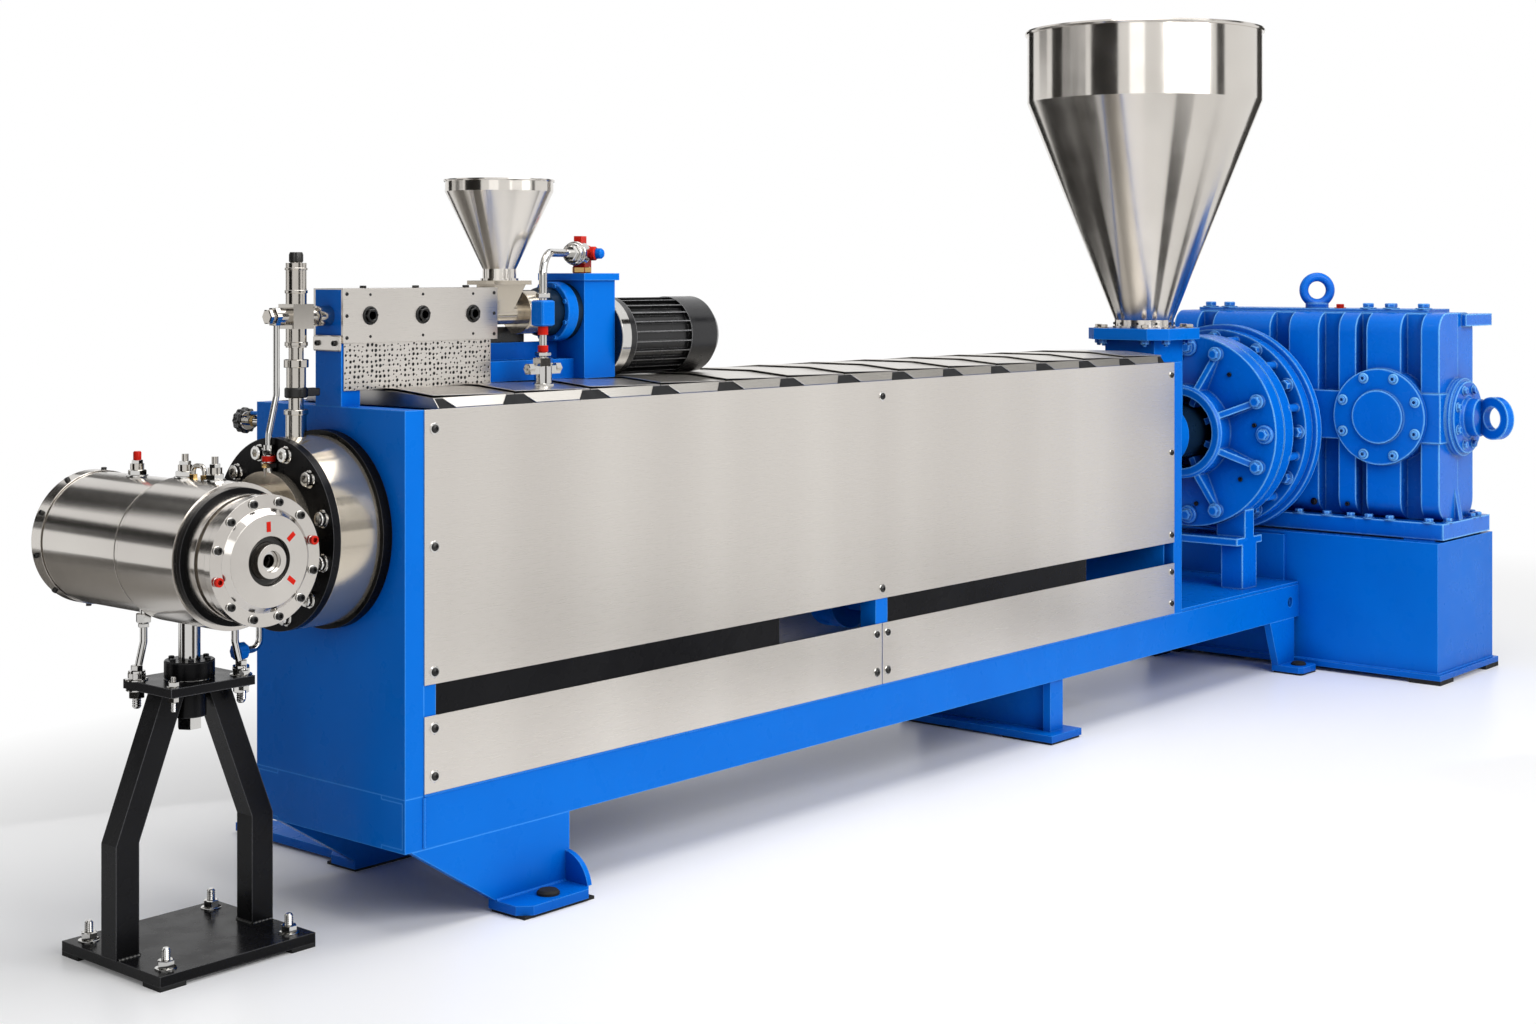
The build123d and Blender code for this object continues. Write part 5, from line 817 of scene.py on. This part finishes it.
def coex_cover_details():
    """Open black nuts in the cover's three sockets and small bolts along its edges."""
    low, high, middle = span("coex_barrel_cover")
    count, socket_radius, socket_depth, wall, lip, seat = 3, 24, 30, 6, 4, 2
    nut_radius, nut_proud = 19, 12
    row_inset, end_inset, end_row_inset = 16, 12, 14
    pitch, floor_y = (high.x - low.x) / count, low.y + socket_depth
    lining = collar(socket_radius - wall, socket_radius - 2 * SLIP, seat, socket_depth + lip, seat)
    nut = open_nut(nut_radius, seat, socket_depth + nut_proud)
    sockets = Pile("coex_socket_nuts", "black_oxide", "motor_black")
    bolts = Pile("coex_cover_bolts", "black_oxide")
    for i in range(count):
        x = low.x + (i + 0.5) * pitch
        sockets.on(lining, x, floor_y, middle.z, NEAR)
        sockets.on(nut, x, floor_y, middle.z, NEAR, x)
        bolts.on(hexagon(M10, 0, M8), x, low.y / 2, high.z, UP, x)
        for z in (low.z + row_inset, high.z - row_inset):
            bolts.on(button_screw(M5), x, low.y, z, NEAR)
    for z in (low.z + end_row_inset, middle.z, high.z - end_row_inset):
        for x in (low.x + end_inset, high.x - end_inset):
            bolts.on(button_screw(M6), x, low.y, z, NEAR)


def coex_guard_details():
    """The punched sheet of the guard with a black sheet behind it, painted shade that shows its holes dark,
    and a black plate below the small barrel, painted shade in the gap there.
    """
    low, high, middle = span("coex_guard")
    width, height = high.x - low.x, high.z - low.z
    sheet, shade_thickness, rim, seam, columns, rows = 1.8, 0.8, 1, 0.2, 36, 9
    guard = Pile("punched_guard", "stainless_sheet", replaced="coex_guard")
    hole_shade = Pile("guard_hole_shade", "motor_black")
    gap_shade = Pile("barrel_gap_shade", "motor_black")
    guard.on(perforated(width, height, sheet, columns, rows), middle.x, low.y + sheet, middle.z, NEAR)
    # Black sheet behind the holes: painted shade
    hole_shade_sheet = slab(width - 2 * rim, height - 2 * rim, shade_thickness, seam)
    hole_shade.on(hole_shade_sheet, middle.x, high.y - seam, middle.z, NEAR)
    # Black plate in the gap below the small barrel: painted shade
    web_y, overlap, clearance, thickness, reach = 42, 12, 8, 4, 66
    bottom, top = span("coex_support")[1].z - overlap, span("coex_barrel")[0].z - clearance
    start, end = span("coex_barrel_cover")[1].x, span("coex_coupling")[0].x + reach
    plate = slab(end - start, top - bottom, thickness)
    gap_shade.on(plate, (start + end) / 2, web_y + thickness, (bottom + top) / 2, NEAR)


def coex_drive_details():
    """The coupling's steel sleeve, the bolted flange of its bell and the bright flange ring of the motor."""
    low, high, middle = span("coex_coupling")
    pipe_bore, coupling_bore, sleeve_radius, sleeve_length, lip = 33.3, 58.3, 61, 50, 4
    bell_radius, rim_length, flange_radius, flange_length = 68, 18, high.y + 2.4, 40
    flange_x, bolt_count = high.x - rim_length - 1, 8
    steel = Pile("coupling_sleeve", "drum_steel")
    blue = Pile("bell_flange", "machine_blue")
    bright = Pile("motor_flange_ring", "chrome_pipe")
    front = collar(pipe_bore, sleeve_radius, -lip, 0)
    sleeve = collar(coupling_bore, sleeve_radius, 0, sleeve_length)
    steel.on(joined(front, sleeve), low.x, 0, middle.z, BACK)
    flange = collar(bell_radius + 2 * SLIP, flange_radius, 0, flange_length, 2)
    blue.on(flange, flange_x, 0, middle.z, FRONT)
    bolt_x, bolt_circle = flange_x - flange_length, flange_radius - M8
    blue.circle(hex_bolt(M8), bolt_x, 0, middle.z, FRONT, bolt_circle, bolt_count, HALF_STEP)
    motor_low, motor_high, motor = span("coex_motor")
    motor_bore, motor_radius, ring_length, ring_edge = 90, motor_high.y + 2, 38, 3
    motor_ring = collar(motor_bore, motor_radius, 0, ring_length, ring_edge)
    bright.on(motor_ring, motor_low.x + 1, 0, motor.z, BACK)


def water_pipe_details():
    """Nuts, red sleeves and the blue block of the water pipe, with its valve's unions, body and blue cap."""
    low, high, _ = span("cooling_pipe")
    radius, sleeve_radius, tee_half, tee_rise, tee_nut_x = 11, 14, 55, 50, 40
    block, block_height, block_edge = 48, 70, 4
    pipe_y, valve_y, valve_inset, seam = -150, -20, 62, 0.5
    pipe = Vector((low.x + tee_half, pipe_y))
    # Rise above the pipe's foot, corner radius and height of each nut
    nuts = ((0, 30, 10), (54, 28, 26), (82, 22, 12), (240, 19, 14))
    # Rises of each red sleeve's ends
    sleeves = ((94, 112), (140, 164))
    bright = Pile("pipe_unions", "chrome_pipe")
    red = Pile("pipe_sleeves_and_valve_body", "red_valve")
    blue = Pile("pipe_block_and_valve_cap", "machine_blue")
    brass = Pile("valve_base", "brass")
    for rise, size, height in nuts:
        bright.on(hexagon(size, 0, height), *pipe, low.z + rise, UP, rise)
    for side in SIDES:
        bright.on(hexagon(15, 0, 20), pipe.x + side * tee_nut_x, pipe.y, low.z + tee_rise, (side, 0, 0))
    for start, end in sleeves:
        red.on(collar(radius + SLIP, sleeve_radius, start, end), *pipe, low.z, UP)
    blue.on(slab(block, block, block_height, block_edge), *pipe, COEX_AXIS - block_height / 2, UP)

    valve = Vector((span("coex_gear_column")[0].x + valve_inset, valve_y))
    valve_foot, axis_z = span("shutoff_valve")[0].z + seam, high.z - radius
    along = (valve - pipe).normalized()
    across = (along.y, -along.x, 0)
    union = joined(hexagon(24, -102, -80), collar(17.8, 29, -78, -60), collar(28.8, 34, -58, -14))
    branch = turned([(20, 0), (20, 42), (17, 45)])
    cap = turned([(14, 44), (15, 47), (15, 60), (10, 66), (4, 68)])
    bright.on(union, *valve, axis_z, (*along, 0))
    red.on(branch, *valve, axis_z, across)
    blue.on(cap, *valve, axis_z, across)
    brass.on(hexagon(28, 0, 18), *valve, valve_foot, UP)


# Feed section
def feed_details():
    """Bolts and nuts of the feed flange, plugs in the throat and screws in the hopper's neck."""
    low, high, middle = span("feed_flange")
    bolt_inset, bolt_half, nut_height = 30, 92, 24
    throat_half, plug_z, plug_places = 120, low.z - 110, (-60, 50)
    neck_radius, neck_z, neck_screws = 117, high.z + 18, 10
    reach = (high.x - low.x) / 2 - bolt_inset
    places = [(side_x * reach, side_y * bolt_half) for side_x, side_y in CORNERS]
    places += [(y, x) for x, y in places]
    steel = Pile("feed_bolts", "brass_fitting")
    blue = Pile("feed_nuts", "drive_blue")
    dark = Pile("feed_plugs", "black_oxide")
    for x, y in places:
        steel.on(hex_bolt(M16), middle.x + x, y, high.z, UP, x)
        blue.on(stud_nut(M10, nut_height), middle.x + x, y, low.z, DOWN, y)
    for place in plug_places:
        dark.on(socket_screw(M8), middle.x + place, -throat_half, plug_z, NEAR)
        dark.on(socket_screw(M8), middle.x - throat_half, place, plug_z, FRONT)
    dark.spokes(socket_screw(M6), (middle.x, 0, neck_z), BACK, FAR, neck_radius, neck_screws, HALF_STEP)


# Drive
def lantern_bolts():
    """Bolts on the rib bosses, between them, inside the hub ring and on the rear flange, and dark plugs."""
    low, high, _ = span("lantern")
    hub_length, flange_length, boss_height, rear_length = 84, 70, 24, 60
    boss_circle, hub_circle, rear_circle, plug_circle = 344, 130, 378, 300
    ribs, pads, studs, tall_head = 8, 4, 12, 30
    flange, rear = low.x + hub_length, high.x - rear_length
    hub = flange + flange_length / 2
    blue = Pile("lantern_bolts", "drive_blue")
    dark = Pile("lantern_plugs", "black_oxide")
    blue.circle(hex_bolt(M24), flange - boss_height, 0, AXIS, FRONT, boss_circle, ribs, HALF_STEP)
    pad_bolt = joined(turned([(38, 0), (38, 10), (34, 14)]), hex_bolt(M24, tall_head))
    blue.circle(pad_bolt, flange, 0, AXIS, FRONT, boss_circle, pads)
    blue.circle(hex_bolt(M10), hub, 0, AXIS, FRONT, hub_circle, ribs, 0.25)
    blue.circle(hex_bolt(M24, tall_head), rear, 0, AXIS, FRONT, rear_circle, studs)
    dark.circle(socket_screw(M10), flange, 0, AXIS, FRONT, plug_circle, ribs, 0.15)


def gearbox_cover_screws():
    """Screws round the bearing covers and the end cover."""
    low, high, middle = span("bearing_covers")
    shaft = span("input_shaft")[2]
    rim, circle, count, end_face, end_circle = 16, 168, 8, low.y + 52, 118
    screw = joined(washer(M24, 2), socket_screw(M16, 0.5))
    screws = Pile("gearbox_cover_screws", "drive_blue")
    screws.circle(screw, low.x + rim, shaft.y, shaft.z, FRONT, circle, count, HALF_STEP)
    for y, z in ((shaft.y, shaft.z), (0, AXIS)):
        screws.circle(screw, high.x - rim, y, z, BACK, circle, count, HALF_STEP)
    screws.circle(hex_bolt(M16), middle.x, end_face, shaft.z, NEAR, end_circle, count, HALF_STEP)


def gearbox_bolts():
    """Foot bolts, lid plugs, drain plugs and the one red filler plug."""
    low, high, middle = span("gearbox_case")
    neck_length, case_length = 180, 372
    front = low.x + neck_length
    rear = front + case_length
    foot_top, drain_z, lid_x = low.z + 76, low.z + 126, middle.x - 61
    foot_rows, side_row, side_inset = (front - 14, rear + 40), (front + 50, rear - 82, rear - 22), 14
    foot_places = (-835, -670, -580, -500, -396, -270, -173, 60, 179, 290)
    lid_places, filler_y, drain_y, level_y = (-760, -620, -520, 120, 210), -395, -330, -480
    blue = Pile("gearbox_bolts", "drive_blue")
    red = Pile("oil_filler_plug", "red_valve")
    dark = Pile("drain_plugs", "black_oxide")
    for y in foot_places:
        for x in foot_rows:
            blue.on(hex_bolt(M20), x, y, foot_top, UP, y)
    for x in side_row:
        for y in (low.y + side_inset, high.y - side_inset):
            blue.on(hex_bolt(M20), x, y, foot_top, UP, x)
    for y in lid_places:
        blue.on(hex_bolt(1.4 * M20, M20), lid_x, y, high.z, UP, y)
    red.on(hex_bolt(M20), lid_x, filler_y, high.z, UP, 0.4)
    dark.on(hex_bolt(M12), front, drain_y, drain_z, FRONT)
    dark.on(socket_screw(M10), front, level_y, drain_z, FRONT)


# Frame
def foot_caps():
    """Black caps over the anchors of the frame's feet."""
    anchor_x, anchor_y = anchor_reach("frame_anchors")
    cap = turned([(30, 0), (30, 6), (24, 12), (10, 14)])
    caps = Pile("anchor_caps", "pad_rubber")
    for side_x, side_y in CORNERS:
        caps.on(cap, FRAME_MIDDLE + side_x * anchor_x, side_y * anchor_y, FOOT_TOP, UP)


def frame_welds():
    """Weld beads where the beams, end plate, feet and gear base meet."""
    beam_low, beam_high, _ = span("base_beams")
    plate_x, panel_end = span("front_end_plate")[1].x, span("lower_side_panels")[1].x
    foot_x, foot_half = FRAME_MIDDLE - anchor_reach("frame_anchors")[0], 130
    size, sink, seam_z = 5, 2, beam_high.z + 1
    welds = Pile("frame_welds", "machine_blue")
    for side in SIDES:
        y, seam_y = side * beam_high.y, side * (beam_high.y - sink)
        welds.add(bead((plate_x, seam_y, seam_z), (panel_end, seam_y, seam_z), size))
        welds.add(bead((plate_x, y, beam_low.z + size), (plate_x, y, beam_high.z - size), size))
        welds.add(bead((foot_x - foot_half, y, FOOT_TOP), (foot_x + foot_half, y, FOOT_TOP), size))
    base_low, base_high, _ = span("gear_base")
    inset, plate_top = 18, base_low.z + 22
    corner = (base_low.x + inset, base_low.y + inset, plate_top)
    welds.add(bead(corner, (base_high.x - inset, base_low.y + inset, plate_top), size))
    welds.add(bead(corner, (base_low.x + inset, base_high.y - inset, plate_top), size))


for dress in (panel_screws, lapped_covers, slot_back, drum_bolts, die_fasteners, tail_screws, crosshead_nuts,
              stand_bolts, drain_nuts, stand_welds, tap_knobs, melt_column_details, outlet_bracket,
              coex_cover_details, coex_guard_details, coex_drive_details, water_pipe_details, feed_details,
              lantern_bolts, gearbox_cover_screws, gearbox_bolts, foot_caps, frame_welds):
    dress()
for pile in piles:
    pile.piece()


# Studio
def shown_rays(tree):
    """One for rays from the camera, from reflections and through glass, otherwise zero."""
    path = tree.nodes.new("ShaderNodeLightPath")
    total = path.outputs["Is Camera Ray"]
    for name in ("Is Glossy Ray", "Is Transmission Ray"):
        either = tree.nodes.new("ShaderNodeMath")
        either.operation = "MAXIMUM"
        tree.links.new(total, either.inputs[0])
        tree.links.new(path.outputs[name], either.inputs[1])
        total = either.outputs[0]
    return total


def studio_world(strength):
    """White for the camera and in reflections, dimmer as a light."""
    world = bpy.data.worlds.new("studio")
    world.use_nodes = True
    bpy.context.scene.world = world
    tree = world.node_tree
    background = tree.nodes["Background"]
    background.inputs["Color"].default_value = (1, 1, 1, 1)
    level = tree.nodes.new("ShaderNodeMapRange")
    level.inputs["To Min"].default_value = strength
    level.inputs["To Max"].default_value = 1.0
    tree.links.new(shown_rays(tree), level.inputs["Value"])
    tree.links.new(level.outputs["Result"], background.inputs["Strength"])


def board(name, corners, shader):
    """A flat stage piece with four corners."""
    mesh = bpy.data.meshes.new(name)
    mesh.from_pydata(corners, [], [(0, 1, 2, 3)])
    mesh.materials.append(shader.material)
    made = placed(name, mesh)
    return made


def studio_floor():
    """A pale floor that fades to white away from the machine."""
    half, squeeze, fade_start, fade_end = 60, 0.42, 1.2, 2.7
    pale = Shader("pale_floor", Base_Color=(0.93, 0.93, 0.935, 1), Roughness=0.35, Specular_IOR_Level=0.2)
    tree = pale.tree
    glow = pale.node("Emission")
    place = pale.node("TexCoord")
    oval = pale.node("Mapping", Scale=(squeeze, 1, 1))
    length = pale.node("VectorMath", operation="LENGTH")
    pale.link(place.outputs["Object"], oval, "Vector")
    pale.link(oval, length, 0)
    fade = pale.spread(length.outputs["Value"], 0, 1, fade_start, fade_end)
    both = pale.node("Math", operation="MULTIPLY")
    pale.link(fade, both, 0)
    pale.link(shown_rays(tree), both, 1)
    mix = pale.node("MixShader")
    pale.link(both, mix, 0)
    pale.link(pale.shader, mix, 1)
    pale.link(glow, mix, 2)
    tree.links.new(mix.outputs[0], tree.nodes["Material Output"].inputs["Surface"])
    board("floor", [(-half, -half, 0), (half, -half, 0), (half, half, 0), (-half, half, 0)], pale)


def studio_lamp(name, point, target, size, power):
    """An area lamp that points at a target."""
    lamp = bpy.data.lights.new(name, "AREA")
    lamp.shape = "RECTANGLE"
    lamp.size, lamp.size_y = size
    lamp.energy = power
    made = placed(name, lamp)
    made.location = point
    made.rotation_euler = (Vector(target) - Vector(point)).to_track_quat("-Z", "Y").to_euler()


def dark_card(name, corners, shade):
    """A dark board that only reflections see."""
    warm_grey = (shade, 0.95 * shade, 0.88 * shade, 1)
    dull = Shader(name, Base_Color=warm_grey, Roughness=0.9, Specular_IOR_Level=0.0)
    card = board(name, corners, dull)
    card.visible_camera = False
    card.visible_diffuse = False
    card.visible_shadow = False


def compass(turn, rise=0):
    """The direction at a compass angle and an elevation, both in degrees."""
    level, upright = math.cos(math.radians(rise)), math.sin(math.radians(rise))
    return Vector((level * math.cos(math.radians(turn)), level * math.sin(math.radians(turn)), upright))


def standing_card(name, start, end, low, high, shade):
    """A card between two compass angles and two elevations, seen from the machine's middle."""
    middle, distance = Vector((0, 0, 1)), 11
    places = ((start, low), (end, low), (end, high), (start, high))
    dark_card(name, [middle + distance * compass(turn, rise) for turn, rise in places], shade)


def floor_card(name, node, start, end, near, far, shade):
    """A card on the floor between two compass angles and two distances from a node's middle."""
    low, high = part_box(node)
    lift = 0.012
    foot = Vector(((low.x + high.x) / 2, (low.y + high.y) / 2, lift))
    places = ((start, near), (end, near), (end, far), (start, far))
    dark_card(name, [foot + reach * compass(turn) for turn, reach in places], shade)


def wall_card(name, left, right, low, high, shade):
    """An upright card some way behind the machine."""
    wall = 7
    dark_card(name, [(left, wall, low), (right, wall, low), (right, wall, high), (left, wall, high)], shade)


# Compass angles from and to, elevations from and to, shade
STANDING_CARDS = ((156, 187, -5, 45, 0.03), (243, 266, -5, 24, 0.14), (291, 300, 2, 45, 0.05),
                  (103, 119, -5, 45, 0.05), (50, 66, -5, 45, 0.03), (-10, 8, -5, 45, 0.08),
                  (298, 332, 28, 37, 0.03), (120, 150, 8, 15, 0.04))
# Node, compass angles from and to, distances from and to, shade
FLOOR_CARDS = (("hopper_cone", 114, 138, 1.6, 6.0, 0.03), ("hopper_cone", 148, 160, 3.5, 8.0, 0.03),
               ("hopper_cone", 244, 264, 1.6, 3.6, 0.04), ("hopper_cone", 294, 308, 1.6, 3.6, 0.04),
               ("hopper_cone", 58, 80, 1.6, 8.0, 0.03), ("stand_jack", 80, 128, 1.3, 4.6, 0.38),
               ("stand_jack", 150, 186, 2.0, 10.0, 0.03), ("stand_jack", 262, 290, 2.4, 10.0, 0.05),
               ("stand_jack", 40, 78, 1.6, 12.0, 0.04))
# Left, right, low and high edges in metres, shade
WALL_CARDS = ((-5.6, -2.3, 4.2, 6.8, 0.02), (-8.8, -6.4, 1.8, 3.2, 0.02), (-0.2, 1.6, 3.2, 5.0, 0.06))

# Name, place, target and size in metres, power in watts
LAMPS = (("key_lamp", (-1.0, -7.5, 5.0), (0.8, 0.0, 0.9), (7.0, 4.5), 520),
         ("top_lamp", (0.0, -1.5, 7.5), (0.0, -0.5, 0.0), (8.0, 4.0), 330),
         ("front_lamp", (-7.5, -4.0, 3.5), (-2.5, 0.0, 0.9), (2.5, 2.5), 24))
WORLD_LIGHT = 0.30

studio_world(WORLD_LIGHT)
studio_floor()
for lamp in LAMPS:
    studio_lamp(*lamp)
for make, cards in ((standing_card, STANDING_CARDS), (floor_card, FLOOR_CARDS), (wall_card, WALL_CARDS)):
    for number, card in enumerate(cards):
        make(f"{make.__name__}_{number}", *card)

VIEW_ANGLE = math.radians(40.469)
camera_data = bpy.data.cameras.new("camera")
camera_data.sensor_width = 36
camera_data.lens = 49.83
camera_data.shift_y = -0.1559
camera = placed("camera", camera_data)
camera.location = (-5.9321, -4.3594, 1.6399)
camera.rotation_euler = (math.radians(90), 0, VIEW_ANGLE - math.radians(90))
bpy.context.scene.camera = camera
bpy.context.scene.view_settings.view_transform = "Standard"
